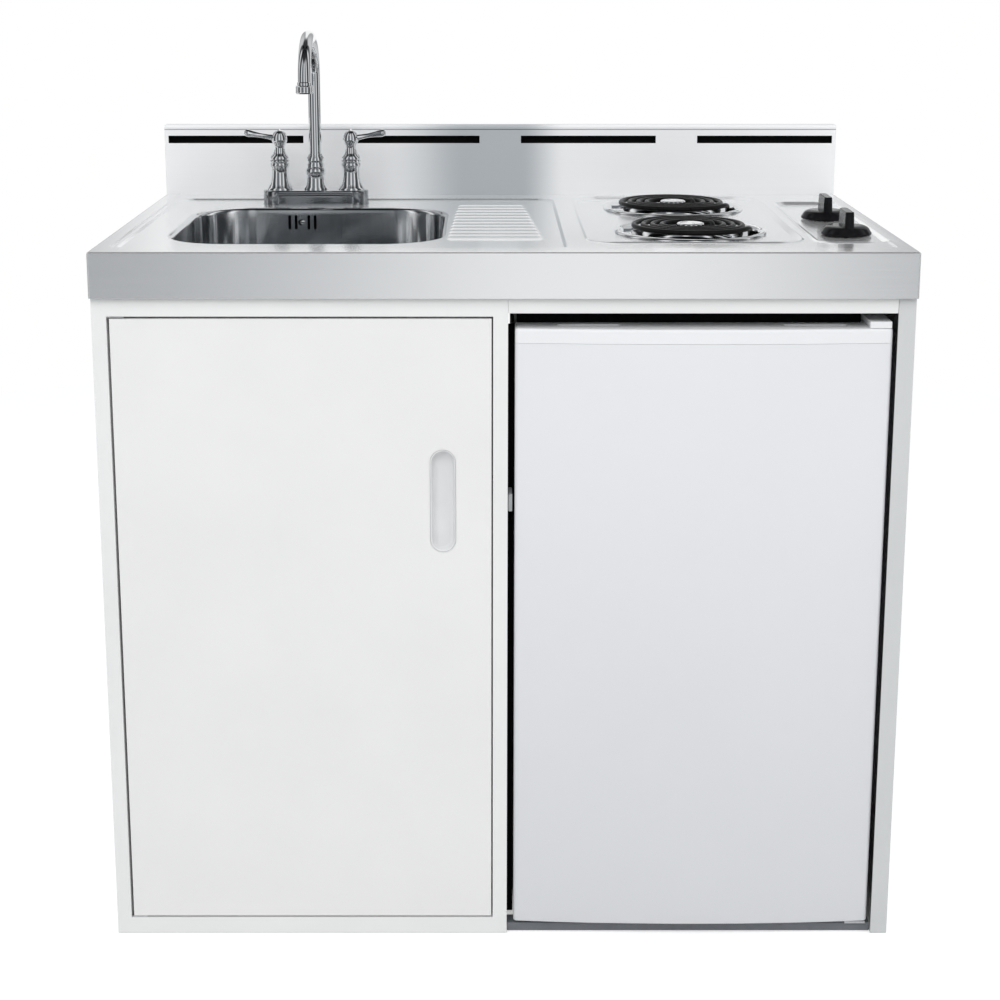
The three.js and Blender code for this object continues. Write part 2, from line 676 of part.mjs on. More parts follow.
// A box behind the slots, held by a screw through the bowl, and a pipe from it to the drain cup.
function overflow() {
  const wall = SINK_BACK + STEEL + SEAT_GAP;
  const middle = DECK - OVERFLOW_BELOW_DECK;
  const half = OVERFLOW_BOX_WIDTH / 2;
  const boxTop = UNDER_DECK - STEEL - SEAT_GAP;
  const boxZ = [boxTop - OVERFLOW_BOX_HEIGHT, boxTop];
  const box = tray([OVERFLOW_X - half, OVERFLOW_X + half], [wall, wall + OVERFLOW_BOX_DEPTH], boxZ,
    PIPE_WALL, "-y");
  const pipeY = wall + OVERFLOW_BOX_DEPTH - OVERFLOW_PIPE_RADIUS + 3;
  const cupWall = DRAIN_RADIUS + SEAT_GAP;
  const cupZ = SINK_FLOOR - DRAIN_CUP_DEPTH / 2 - OVERFLOW_LOW;
  const route = new THREE.CurvePath();
  const corner = 34;
  const low = new THREE.Vector3(OVERFLOW_X, pipeY, cupZ);
  const aim = new THREE.Vector3(SINK_X, SINK_Y, cupZ).sub(low).normalize();
  const down = new THREE.Vector3(OVERFLOW_X, pipeY, cupZ + corner);
  const turnedIn = low.clone().addScaledVector(aim, corner);
  const end = new THREE.Vector3(SINK_X, SINK_Y, cupZ).addScaledVector(aim, -cupWall);
  route.add(new THREE.LineCurve3(new THREE.Vector3(OVERFLOW_X, pipeY, boxZ[0]), down));
  route.add(new THREE.QuadraticBezierCurve3(down, low, turnedIn));
  route.add(new THREE.LineCurve3(turnedIn, end));
  const pipe = swept(route, OVERFLOW_PIPE_RADIUS, 18, 8);
  const bore = swept(route, OVERFLOW_PIPE_RADIUS - PIPE_WALL, 18, 8);
  const mouth = cylinder(OVERFLOW_PIPE_RADIUS - PIPE_WALL, boxZ[0] - 6, boxZ[0] + PIPE_WALL + PAST,
    OVERFLOW_X, pipeY, 8);
  const inCup = cylinder(cupWall, cupZ - 30, cupZ + 30, SINK_X, SINK_Y, 24);
  const shank = OVERFLOW_BOX_DEPTH + STEEL;
  const screw = turned(
    [[0, -1.6], [OVERFLOW_SCREW_RADIUS, -1.6], [OVERFLOW_SCREW_RADIUS, -SEAT_GAP],
      [OVERFLOW_SCREW_RADIUS / 2, -SEAT_GAP], [OVERFLOW_SCREW_RADIUS / 2, shank], [0, shank]],
    0, 0, 0, 12,
  ).rotate([-90, 0, 0]).translate([OVERFLOW_X, SINK_BACK, middle]);
  const fitting = box.add(pipe).subtract(bore).subtract(mouth).subtract(inCup).add(screw);
  add("overflow_fitting", fitting, blackPlastic);
}

const STRAINER_TOP = SINK_FLOOR + SEAT_GAP;
const OUTLET_END = SINK_FLOOR - DRAIN_CUP_DEPTH - OUTLET_LENGTH;
const TAIL_TOP = OUTLET_END - SEAT_GAP;
const TAIL_BOTTOM = TAIL_TOP - TAIL_LENGTH;
const TRAP_MOUTH = TAIL_BOTTOM + TRAP_TAKES;
const TRAP_BORE = OUTLET_RADIUS + TRAP_LOOSENESS;

function trapArmHeight() {
  return TRAP_MOUTH - TRAP_DROP + TRAP_RISE + ARM_BEND;
}

function drain() {
  const cupRadius = DRAIN_RADIUS - SEAT_GAP;
  const flangeRadius = DRAIN_RADIUS + DRAIN_FLANGE;
  const inner = cupRadius - DRAIN_WALL;
  const cupFloor = SINK_FLOOR - DRAIN_CUP_DEPTH;
  const nutTop = SINK_FLOOR - STEEL - SEAT_GAP;
  add(
    "strainer_body",
    turned(
      [
        [OUTLET_RADIUS - DRAIN_WALL, OUTLET_END],
        [OUTLET_RADIUS, OUTLET_END],
        [OUTLET_RADIUS, cupFloor - DRAIN_WALL],
        [cupRadius, cupFloor - DRAIN_WALL],
        [cupRadius, nutTop - LOCK_NUT],
        [flangeRadius - 4, nutTop - LOCK_NUT],
        [flangeRadius - 4, nutTop],
        [cupRadius, nutTop],
        [cupRadius, STRAINER_TOP],
        [flangeRadius, STRAINER_TOP],
        [flangeRadius - 3, STRAINER_TOP + FLANGE_HEIGHT],
        [inner, STRAINER_TOP + FLANGE_HEIGHT],
        [inner, cupFloor],
        [OUTLET_RADIUS - DRAIN_WALL, cupFloor],
      ],
      SINK_X, SINK_Y, 0,
    ),
    stainless,
  );
  const rim = STRAINER_TOP + FLANGE_HEIGHT + SEAT_GAP;
  const basket = inner - BASKET_GAP;
  const wall = BASKET_WALL;
  const floor = rim - BASKET_DEPTH;
  add(
    "strainer_basket",
    turned(
      [
        [0, floor - wall],
        [basket - 8, floor - wall],
        [basket, floor + 8],
        [basket, rim],
        [inner + 4, rim],
        [inner + 4, rim + wall],
        [basket - wall, rim + wall],
        [basket - wall, floor + 9],
        [basket - 9, floor],
        [3, floor],
        [3, rim],
        [9, rim + 6],
        [8, rim + 12],
        [0, rim + 13],
      ],
      SINK_X, SINK_Y, 0,
    ),
    stainless,
  );
  const nutHigh = TAIL_TOP + SLIP_NUT / 2;
  const nutLow = TAIL_TOP - SLIP_NUT / 2;
  const nutRadius = OUTLET_RADIUS + SLIP_NUT_WALL;
  const tail = OUTLET_RADIUS - SEAT_GAP;
  add(
    "tailpiece",
    turned(
      [
        [OUTLET_RADIUS - DRAIN_WALL, TAIL_BOTTOM],
        [tail, TAIL_BOTTOM],
        [tail, nutLow],
        [nutRadius, nutLow],
        [nutRadius, nutHigh],
        [OUTLET_RADIUS + THREAD_GAP, nutHigh],
        [OUTLET_RADIUS + THREAD_GAP, TAIL_TOP],
        [OUTLET_RADIUS - DRAIN_WALL, TAIL_TOP],
      ],
      SINK_X, SINK_Y, 0, 16,
    ),
    chrome,
  );
  add("drain_trap", trap(), whitePlastic);
}

// The trap takes the tailpiece in its mouth, dips, rises and runs back through the rear panel.
function trap() {
  const low = TRAP_MOUTH - TRAP_DROP;
  const rise = SINK_Y + 2 * TRAP_BEND;
  const armZ = trapArmHeight();
  const route = new THREE.CurvePath();
  const at = (y, z) => new THREE.Vector3(SINK_X, y, z);
  route.add(new THREE.LineCurve3(at(SINK_Y, TRAP_MOUTH), at(SINK_Y, low)));
  route.add(new RoundBend(at(SINK_Y + TRAP_BEND, low), TRAP_BEND, Math.PI, 2 * Math.PI));
  route.add(new THREE.LineCurve3(at(rise, low), at(rise, low + TRAP_RISE)));
  route.add(new RoundBend(at(rise + ARM_BEND, low + TRAP_RISE), ARM_BEND, Math.PI, Math.PI / 2));
  route.add(new THREE.LineCurve3(at(rise + ARM_BEND, armZ), at(BACK - 1, armZ)));
  return swept(route, TRAP_BORE + PIPE_WALL, 34, 8, TRAP_BORE);
}

// An arc in a plane of constant X, with its angle measured from +Y towards +Z.
class RoundBend extends THREE.Curve {
  constructor(centre, radius, from, to) {
    super();
    Object.assign(this, { centre, radius, from, to });
  }
  getPoint(t) {
    const angle = this.from + (this.to - this.from) * t;
    return new THREE.Vector3(
      this.centre.x,
      this.centre.y + this.radius * Math.cos(angle),
      this.centre.z + this.radius * Math.sin(angle),
    );
  }
}

// ---------- Faucet ----------

function faucet() {
  const foot = DECK + SEAT_GAP;
  const baseTop = foot + FAUCET_BASE_HEIGHT;
  const towerTop = DECK + TOWER_HEIGHT;
  const chamfer = 4;
  const plinth = new THREE.ExtrudeGeometry(
    roundedOutline(FAUCET_BASE_LENGTH - 2 * chamfer, FAUCET_BASE_WIDTH - 2 * chamfer,
      FAUCET_BASE_WIDTH / 2 - chamfer),
    { depth: FAUCET_BASE_HEIGHT - 2 * chamfer, bevelThickness: chamfer, bevelSize: chamfer,
      bevelSegments: 1, curveSegments: 4 },
  );
  plinth.translate(FAUCET_X, FAUCET_Y, foot + chamfer);
  let body = solid(plinth);
  for (const side of [-1, 1]) {
    const x = FAUCET_X + (side * HANDLE_SPACING) / 2;
    body = body.add(
      turned(
        [
          [0, baseTop - chamfer],
          [TOWER_FOOT_RADIUS, baseTop - chamfer],
          [TOWER_FOOT_RADIUS - 1, baseTop + 4],
          [TOWER_TOP_RADIUS, baseTop + 16],
          [TOWER_TOP_RADIUS + 2, towerTop - 9],
          [TOWER_TOP_RADIUS + 2, towerTop],
          [0, towerTop],
        ],
        x, FAUCET_Y, 0, 16,
      ),
    );
    body = body.add(cylinder(SHANK_RADIUS, DECK - SHANK_LENGTH, foot + chamfer, x, FAUCET_Y, 12));
  }
  const collarTop = DECK + COLLAR_HEIGHT;
  body = body.add(cylinder(COLLAR_RADIUS + 3, baseTop - chamfer, collarTop, FAUCET_X, FAUCET_Y, 16));
  const barSide = CLAMP_BAR_WIDTH / 2;
  const barHalf = HANDLE_SPACING / 2 + barSide;
  const clampBar = roundedBlock([FAUCET_X - barHalf, FAUCET_X + barHalf],
    [FAUCET_Y - barSide, FAUCET_Y + barSide], [UNDER_DECK - CLAMP_BAR, UNDER_DECK], 6);
  add("faucet_body", body.add(clampBar), chrome);

  addSpout(collarTop + SEAT_GAP);
  addHandle("faucet_handle_left", -1, towerTop + SEAT_GAP);
  addHandle("faucet_handle_right", 1, towerTop + SEAT_GAP);
}

function addSpout(bottom) {
  const archZ = DECK + SPOUT_TOP_ABOVE_DECK - SPOUT_RADIUS - SPOUT_ARCH_HEIGHT;
  const half = SPOUT_REACH / 2;
  const route = new THREE.CurvePath();
  const foot = new THREE.Vector3(FAUCET_X, FAUCET_Y, bottom);
  const shoulder = new THREE.Vector3(FAUCET_X, FAUCET_Y, archZ);
  route.add(new THREE.LineCurve3(foot, shoulder));
  const arch = new THREE.EllipseCurve(0, 0, half, SPOUT_ARCH_HEIGHT, 0, Math.PI);
  const points = arch.getPoints(16).map(
    (p) => new THREE.Vector3(FAUCET_X, FAUCET_Y - half + p.x, archZ + p.y),
  );
  route.add(new THREE.CatmullRomCurve3(points));
  const tip = points.at(-1);
  const outlet = tip.clone().setZ(archZ - SPOUT_TIP);
  route.add(new THREE.LineCurve3(tip, outlet));
  const nut = turned(
    [[0, bottom], [COLLAR_RADIUS, bottom], [COLLAR_RADIUS, bottom + 16],
      [SPOUT_RADIUS + 1, bottom + 22], [0, bottom + 22]],
    FAUCET_X, FAUCET_Y, 0, 16,
  );
  const bore = cylinder(SPOUT_BORE, bottom - PAST, bottom + 30, FAUCET_X, FAUCET_Y, 10);
  const pipe = swept(route, SPOUT_RADIUS, 26, 10, SPOUT_BORE);
  add("faucet_spout", nut.subtract(bore).add(pipe), chrome);
  const aeratorTop = outlet.z - SEAT_GAP;
  add(
    "faucet_aerator",
    turned(
      [
        [SPOUT_BORE, aeratorTop - AERATOR_HEIGHT],
        [AERATOR_RADIUS - 1, aeratorTop - AERATOR_HEIGHT],
        [AERATOR_RADIUS, aeratorTop - AERATOR_HEIGHT + 2],
        [AERATOR_RADIUS, aeratorTop],
        [SPOUT_BORE, aeratorTop],
      ],
      FAUCET_X, FAUCET_Y - SPOUT_REACH, 0, 16,
    ),
    chrome,
  );
}

function addHandle(name, side, bottom) {
  const x = FAUCET_X + (side * HANDLE_SPACING) / 2;
  const top = bottom + HANDLE_HEIGHT;
  const neckTop = top - 2 * HANDLE_DOME_RADIUS;
  const hub = turned(
    [
      [0, bottom],
      [TOWER_TOP_RADIUS + 1, bottom],
      [TOWER_TOP_RADIUS, bottom + 5],
      [HANDLE_NECK_RADIUS, bottom + 12],
      [HANDLE_NECK_RADIUS, neckTop],
      [HANDLE_DOME_RADIUS, neckTop + 5],
      [HANDLE_DOME_RADIUS, top - 7],
      [HANDLE_DOME_RADIUS - 5, top - 1],
      [0, top],
    ],
    x, FAUCET_Y, 0, 16,
  );
  const lever = turned(
    [[0, 0], [LEVER_RADIUS, 0], [LEVER_RADIUS - 1, LEVER_REACH / 2], [LEVER_RADIUS, LEVER_REACH - 8],
      [LEVER_RADIUS + 1.5, LEVER_REACH - 3], [0, LEVER_REACH]],
    0, 0, 0, 10,
  );
  const tilt = (Math.atan2(LEVER_REACH, LEVER_RISE) * 180) / Math.PI;
  const placed = lever.rotate([0, side * tilt, 0]).translate([x, FAUCET_Y, top - 11]);
  add(name, hub.add(placed), chrome);
}

// ---------- Burners and their controls ----------

const COIL_Z = DECK + COIL_ABOVE_DECK;
const TERMINAL_Z = COIL_Z - TERMINAL_DROP;

// One end runs in under the turns and rises to the inner turn; the other leaves the outer turn.
function coilRoute() {
  const side = TERMINAL_SPACING / 2;
  const points = [];
  const put = (x, y, z) => points.push(new THREE.Vector3(x, y, z));
  put(TERMINAL_TIP, -side, -TERMINAL_DROP);
  put(TERMINAL_TIP - 12, -side, -TERMINAL_DROP);
  put(COIL_RADIUS, -side, -TERMINAL_DROP);
  put(COIL_INNER_RADIUS + 22, -side, -TERMINAL_DROP);
  put(COIL_INNER_RADIUS + 8, -side, -TERMINAL_DROP + 5);
  put(COIL_INNER_RADIUS, -side + 1, -TERMINAL_DROP + 14);
  const endAngle = COIL_TURNS * 2 * Math.PI - 0.45;
  const pointsPerTurn = 12;
  const steps = COIL_TURNS * pointsPerTurn - 1;
  for (let i = 1; i <= steps; i++) {
    const angle = (endAngle * i) / steps;
    const radius = COIL_INNER_RADIUS + ((COIL_RADIUS - COIL_INNER_RADIUS) * angle) / endAngle;
    put(radius * Math.cos(angle), radius * Math.sin(angle), 0);
  }
  put(COIL_RADIUS - 2, -side + 2, -7);
  put(COIL_RADIUS, 0, -15);
  put(COIL_RADIUS + 6, side - 3, -TERMINAL_DROP + 4);
  put(COIL_RADIUS + 17, side, -TERMINAL_DROP);
  put(TERMINAL_TIP, side, -TERMINAL_DROP);
  return new THREE.CatmullRomCurve3(points, false, "centripetal");
}

// The least gap between the turns of the tube along a route, measured on points of the route.
function leastGap(route, radius) {
  const count = 900;
  const points = route.getSpacedPoints(count);
  const apart = Math.ceil((10 * radius * count) / route.getLength());
  let least = Infinity;
  for (let i = 0; i < count; i++)
    for (let k = i + apart; k <= count; k++)
      least = Math.min(least, points[i].distanceTo(points[k]));
  return least - 2 * radius;
}

function coilSupport(y) {
  const bottom = DECK + SEAT_GAP;
  const top = COIL_Z - COIL_TUBE_RADIUS - SEAT_GAP;
  const reach = PAN_INNER - 1;
  const armHalf = SUPPORT_ARM / 2;
  let support = cylinder(MEDALLION_RADIUS, bottom, COIL_Z + COIL_TUBE_RADIUS, BURNER_X, y, 20);
  for (const angle of [60, 180, 300])
    support = support.add(
      block([0, reach], [-armHalf, armHalf], [bottom, top]).rotate([0, 0, angle])
        .translate([BURNER_X, y, 0]),
    );
  return support;
}

function dripPan(y) {
  const rimTop = DECK + PAN_RIM_RISE;
  const foot = DECK + SEAT_GAP;
  const inner = PAN_INNER;
  const floor = DECK - PAN_DEPTH;
  const floorRadius = inner - PAN_SLOPE;
  const pan = turned(
    [
      [PAN_DRAIN_RADIUS, floor - PAN_WALL],
      [floorRadius, floor - PAN_WALL],
      [floorRadius + 10, floor + 6],
      [inner - 5, DECK - PAN_WALL - 2],
      [inner + 1, DECK - PAN_WALL - 1],
      [inner + 1, foot],
      [PAN_RADIUS, foot],
      [PAN_RADIUS - 1.5, rimTop - 0.6],
      [PAN_RADIUS - 5, rimTop],
      [inner, DECK],
      [inner - 5, DECK - 1.5],
      [floorRadius + 9, floor + 7],
      [floorRadius - 1, floor],
      [PAN_DRAIN_RADIUS, floor],
    ],
    BURNER_X, y, 0, 28,
  );
  const half = TERMINAL_SPACING / 2 + TERMINAL_SIDE_GAP;
  const notch = block(
    [BURNER_X + floorRadius - 6, BURNER_X + PAN_RADIUS + PAST],
    [y - half, y + half],
    [TERMINAL_Z - 9, DECK - 4],
  );
  const ledgeNotch = block(
    [BURNER_X + floorRadius + 10, BURNER_X + inner - 0.5],
    [y - half, y + half],
    [TERMINAL_Z, DECK + PAST],
  );
  return pan.subtract(notch).subtract(ledgeNotch);
}

function socket(y) {
  const start = BURNER_X + TERMINAL_TIP - SOCKET_MOUTH;
  let body = block(
    [start, start + SOCKET_LENGTH],
    [y - SOCKET_WIDTH / 2, y + SOCKET_WIDTH / 2],
    [hobBoxFloor() + STEEL + SEAT_GAP, TERMINAL_Z + SOCKET_HEIGHT / 2],
  );
  for (const side of [-1, 1]) {
    const middle = y + (side * TERMINAL_SPACING) / 2;
    body = body.subtract(
      block([start - PAST, start + SOCKET_MOUTH + 2], [middle - 4.5, middle + 4.5],
        [TERMINAL_Z - 5, TERMINAL_Z + 8]),
    );
  }
  return body;
}

function hobBoxFloor() {
  return UNDER_DECK - HOB_BOX_HEIGHT;
}

function knob(y) {
  const bottom = DECK + KNOB_ABOVE_DECK;
  const skirtTop = bottom + KNOB_SKIRT;
  const skirt = turned(
    [[0, bottom], [KNOB_RADIUS, bottom], [KNOB_RADIUS, bottom + 3], [KNOB_RADIUS - 5, skirtTop - 2],
      [0, skirtTop]],
    KNOB_X, y, 0, 24,
  );
  const grip = roundedBlock(
    [KNOB_X - KNOB_GRIP_WIDTH / 2, KNOB_X + KNOB_GRIP_WIDTH / 2],
    [y - KNOB_RADIUS + 5, y + KNOB_RADIUS - 5],
    [bottom + 4, skirtTop + KNOB_GRIP],
    3,
  );
  const hole = cylinder(SHAFT_RADIUS + SEAT_GAP, bottom - PAST, bottom + SHAFT_IN_KNOB + SEAT_GAP,
    KNOB_X, y, 12);
  return skirt.add(grip).subtract(hole);
}

function heatSwitch(y) {
  const half = SWITCH_SIZE / 2;
  const body = block([KNOB_X - half, KNOB_X + half], [y - half, y + half],
    [UNDER_DECK - SWITCH_HEIGHT, UNDER_DECK]);
  const shaftTop = DECK + KNOB_ABOVE_DECK + SHAFT_IN_KNOB;
  return body.add(cylinder(SHAFT_RADIUS, UNDER_DECK - 1, shaftTop, KNOB_X, y, 12));
}

function hob() {
  const boxRight = BAY_RIGHT - SEAT_GAP - HOB_BOX_FLANGE;
  const wide = [HOB_BOX_LEFT, boxRight];
  const deep = [HOB_BOX_FRONT, HOB_BOX_BACK];
  const flange = block(
    [wide[0] - HOB_BOX_FLANGE, wide[1] + HOB_BOX_FLANGE],
    [deep[0] - HOB_BOX_FLANGE, deep[1] + HOB_BOX_FLANGE],
    [UNDER_DECK - STEEL, UNDER_DECK],
  ).subtract(
    block([wide[0] + STEEL, wide[1] - STEEL], [deep[0] + STEEL, deep[1] - STEEL],
      [UNDER_DECK - 2 * STEEL, UNDER_DECK + PAST]),
  );
  add("hob_housing", tray(wide, deep, [hobBoxFloor(), UNDER_DECK], STEEL, "+z").add(flange), zinc);

  const coilPath = coilRoute();
  console.log("element's least gap to itself, mm:", leastGap(coilPath, COIL_TUBE_RADIUS).toFixed(2));
  const places = { front: [BURNER_FRONT_Y, KNOB_FRONT_Y], rear: [BURNER_REAR_Y, KNOB_REAR_Y] };
  for (const [place, [burnerY, knobY]] of Object.entries(places)) {
    add("drip_pan_" + place, dripPan(burnerY), chrome);
    add("coil_support_" + place, coilSupport(burnerY), chrome);
    const coil = swept(coilPath, COIL_TUBE_RADIUS, 104, 6).translate([BURNER_X, burnerY, COIL_Z]);
    add("coil_element_" + place, coil, blackEnamel);
    add("element_socket_" + place, socket(burnerY), ceramic);
    add("heat_switch_" + place, heatSwitch(knobY), zinc);
    add("heat_knob_" + place, knob(knobY), blackPlastic);
  }
}

// ---------- Cupboard door ----------

const DOOR_LEFT = CABINET_LEFT + STILE_WIDTH + DOOR_SIDE_GAP;
const DOOR_RIGHT = CUPBOARD_RIGHT - STILE_WIDTH - DOOR_SIDE_GAP;
const DOOR_BOTTOM = BOTTOM_RAIL_HEIGHT + DOOR_SIDE_GAP;
const DOOR_TOP = TOP_RAIL_BOTTOM - DOOR_TOP_GAP;
const PIVOT_X = DOOR_LEFT + DOOR_PIVOT_INSET;
const PIVOT_Y = CABINET_FRONT + DOOR_PIVOT_INSET;
const PULL_X = DOOR_RIGHT - PULL_FROM_RIGHT;
const PULL_Z = TOP_RAIL_BOTTOM - PULL_BELOW_RAIL;

// An upright long hole shape with round ends, drawn along Y.
function pullShape(width, height, y0, y1) {
  return prism(roundedOutline(width, height, width / 2), y0, y1)
    .rotate([90, 0, 0])
    .translate([PULL_X, y0 + y1, PULL_Z]);
}

function cupboardDoor() {
  const depth = [CABINET_FRONT, CABINET_FRONT + DOOR_THICKNESS];
  let door = tray([DOOR_LEFT, DOOR_RIGHT], depth, [DOOR_BOTTOM, DOOR_TOP], DOOR_SHEET, "+y");
  door = door.subtract(pullShape(PULL_WIDTH, PULL_HEIGHT, depth[0] - PAST, depth[0] + PAST));
  for (const z of [DOOR_BOTTOM, DOOR_TOP])
    door = door.subtract(
      cylinder(HINGE_PIN_RADIUS + SEAT_GAP, z - PAST, z + PAST, PIVOT_X, PIVOT_Y, 12),
    );
  add("cupboard_door", door, whitePaint);

  const outer = { width: PULL_WIDTH - 2 * SEAT_GAP, height: PULL_HEIGHT - 2 * SEAT_GAP };
  const cupBack = CABINET_FRONT + PULL_DEPTH;
  const lipFront = CABINET_FRONT + DOOR_SHEET + SEAT_GAP;
  const cup = pullShape(outer.width, outer.height, CABINET_FRONT + 0.2, cupBack)
    .add(pullShape(outer.width + 2 * PULL_LIP, outer.height + 2 * PULL_LIP, lipFront, lipFront + 1.2))
    .subtract(
      pullShape(outer.width - 2 * PULL_WALL, outer.height - 2 * PULL_WALL,
        CABINET_FRONT - PAST, cupBack - PULL_WALL),
    );
  add("door_pull", cup, whitePlastic);

  addCupboardHinge("cupboard_hinge_upper", TOP_RAIL_BOTTOM, 1);
  addCupboardHinge("cupboard_hinge_lower", BOTTOM_RAIL_HEIGHT, -1);

  const catchRight = CUPBOARD_RIGHT - STILE_WIDTH - SEAT_GAP;
  const behindDoor = CABINET_FRONT + DOOR_THICKNESS + SEAT_GAP;
  const strike = block([catchRight - CATCH_WIDTH, catchRight],
    [behindDoor, behindDoor + CATCH_DEPTH], [PULL_Z - CATCH_HEIGHT / 2, PULL_Z + CATCH_HEIGHT / 2]);
  const foot = block([catchRight - 2, CUPBOARD_RIGHT - STEEL - SEAT_GAP],
    [PANEL_FRONT + STEEL + SEAT_GAP, behindDoor + CATCH_DEPTH],
    [PULL_Z - CATCH_HEIGHT / 2, PULL_Z + CATCH_HEIGHT / 2]);
  add("door_catch", strike.add(foot), greyPlastic);
}

// A plate under or on a rail of the face frame, with a pin into the door's folded edge.
function addCupboardHinge(name, railEdge, up) {
  const plateFar = railEdge - up * SEAT_GAP;
  const plateNear = plateFar - up * HINGE_PLATE;
  const pinEnd = plateFar - up * HINGE_PIN_LENGTH;
  const sorted = (a, b) => [Math.min(a, b), Math.max(a, b)];
  const plate = block(
    [CABINET_LEFT + STILE_WIDTH + SEAT_GAP, PIVOT_X + 12],
    [CABINET_FRONT + 1, CABINET_FRONT + FRAME_DEPTH],
    sorted(plateFar, plateNear),
  );
  const [low, high] = sorted(plateFar, pinEnd);
  add(name, plate.add(cylinder(HINGE_PIN_RADIUS, low, high, PIVOT_X, PIVOT_Y, 12)), zinc);
}

// ---------- Refrigerator cabinet ----------

const CAVITY = {
  left: FRIDGE_LEFT + INSULATION,
  right: FRIDGE_RIGHT - INSULATION,
  bottom: FRIDGE_BOTTOM + INSULATION,
  top: FRIDGE_TOP - INSULATION,
  back: FRIDGE_BACK - INSULATION,
  stepFront: FRIDGE_BACK - MACHINE_DEPTH - INSULATION,
  stepTop: FRIDGE_BOTTOM + MACHINE_HEIGHT + INSULATION,
};

// The food space seen from the side, drawn in by grow.
function cavityOutline(grow, front) {
  return [
    [front, CAVITY.bottom + grow],
    [CAVITY.stepFront - grow, CAVITY.bottom + grow],
    [CAVITY.stepFront - grow, CAVITY.stepTop + grow],
    [CAVITY.back - grow, CAVITY.stepTop + grow],
    [CAVITY.back - grow, CAVITY.top - grow],
    [front, CAVITY.top - grow],
  ];
}

function fridgeCabinet() {
  const bodyFront = FRIDGE_FRONT + LINER + SEAT_GAP;
  const wide = [FRIDGE_LEFT, FRIDGE_RIGHT];
  const machineTop = FRIDGE_BOTTOM + MACHINE_HEIGHT;
  const machineFront = FRIDGE_BACK - MACHINE_DEPTH;
  const shell = tray(wide, [bodyFront, FRIDGE_BACK], [FRIDGE_BOTTOM, FRIDGE_TOP], FRIDGE_SHEET, "-y")
    .subtract(
      block([FRIDGE_LEFT + BACK_OPENING_INSET, FRIDGE_RIGHT - BACK_OPENING_INSET],
        [FRIDGE_BACK - FRIDGE_SHEET - PAST, FRIDGE_BACK + PAST],
        [FRIDGE_BOTTOM + BACK_OPENING_INSET, machineTop - BACK_OPENING_INSET]),
    );
  const footBar = block([FRIDGE_LEFT + 20, FRIDGE_RIGHT - 20], [FRIDGE_BACK - 40, FRIDGE_BACK - 12],
    [0, FRIDGE_BOTTOM + FRIDGE_SHEET / 2]);
  add("fridge_shell", shell.add(footBar), darkSteel);

  const clear = FRIDGE_SHEET + SEAT_GAP;
  const outside = crosswise(
    [
      [bodyFront, FRIDGE_BOTTOM + clear],
      [machineFront, FRIDGE_BOTTOM + clear],
      [machineFront, machineTop],
      [FRIDGE_BACK - clear, machineTop],
      [FRIDGE_BACK - clear, FRIDGE_TOP - clear],
      [bodyFront, FRIDGE_TOP - clear],
    ],
    FRIDGE_LEFT + clear, FRIDGE_RIGHT - clear,
  );
  const hollow = crosswise(cavityOutline(0, bodyFront - PAST), CAVITY.left, CAVITY.right);
  add("fridge_insulation", outside.subtract(hollow), foam);

  const linerOutside = crosswise(cavityOutline(SEAT_GAP, FRIDGE_FRONT),
    CAVITY.left + SEAT_GAP, CAVITY.right - SEAT_GAP);
  const flange = block([FRIDGE_LEFT + 1, FRIDGE_RIGHT - 1], [FRIDGE_FRONT, FRIDGE_FRONT + LINER],
    [FRIDGE_BOTTOM + 1, FRIDGE_TOP - 1]);
  const space = crosswise(cavityOutline(SEAT_GAP + LINER, FRIDGE_FRONT - PAST),
    CAVITY.left + SEAT_GAP + LINER, CAVITY.right - SEAT_GAP - LINER);
  let liner = linerOutside.add(flange).subtract(space);
  for (const x of [CAVITY.left + SEAT_GAP + 1, CAVITY.right - SEAT_GAP - LINER - LEDGE_DEPTH])
    for (const z of [SHELF_Z, drawerLedge()])
      liner = liner.add(
        block([x, x + LEDGE_DEPTH + 0.5], [FRIDGE_FRONT + 60, CAVITY.back - 1],
          [z - LEDGE_HEIGHT, z]),
      );
  add("fridge_liner", liner, whitePlastic);

  const feet = { left: FRIDGE_LEFT + LEFT_FOOT_INSET, right: FRIDGE_RIGHT - RIGHT_FOOT_INSET };
  for (const [place, x] of Object.entries(feet))
    add(
      "fridge_foot_" + place,
      turned(
        [[0, 0], [FOOT_RADIUS, 0], [FOOT_RADIUS, 8], [5, 10], [5, FRIDGE_BOTTOM - SEAT_GAP],
          [0, FRIDGE_BOTTOM - SEAT_GAP]],
        x, FRIDGE_FRONT + FOOT_SETBACK, 0, 12,
      ),
      greyPlastic,
    );
  const clip = block([BAY_LEFT + SEAT_GAP, BAY_LEFT + SEAT_GAP + CLIP_THICKNESS],
    [FRIDGE_FRONT - 45, FRIDGE_FRONT - 12],
    [CLIP_Z - CLIP_HEIGHT / 2, CLIP_Z + CLIP_HEIGHT / 2]);
  add("fridge_side_clip", clip, greyPlastic);
}

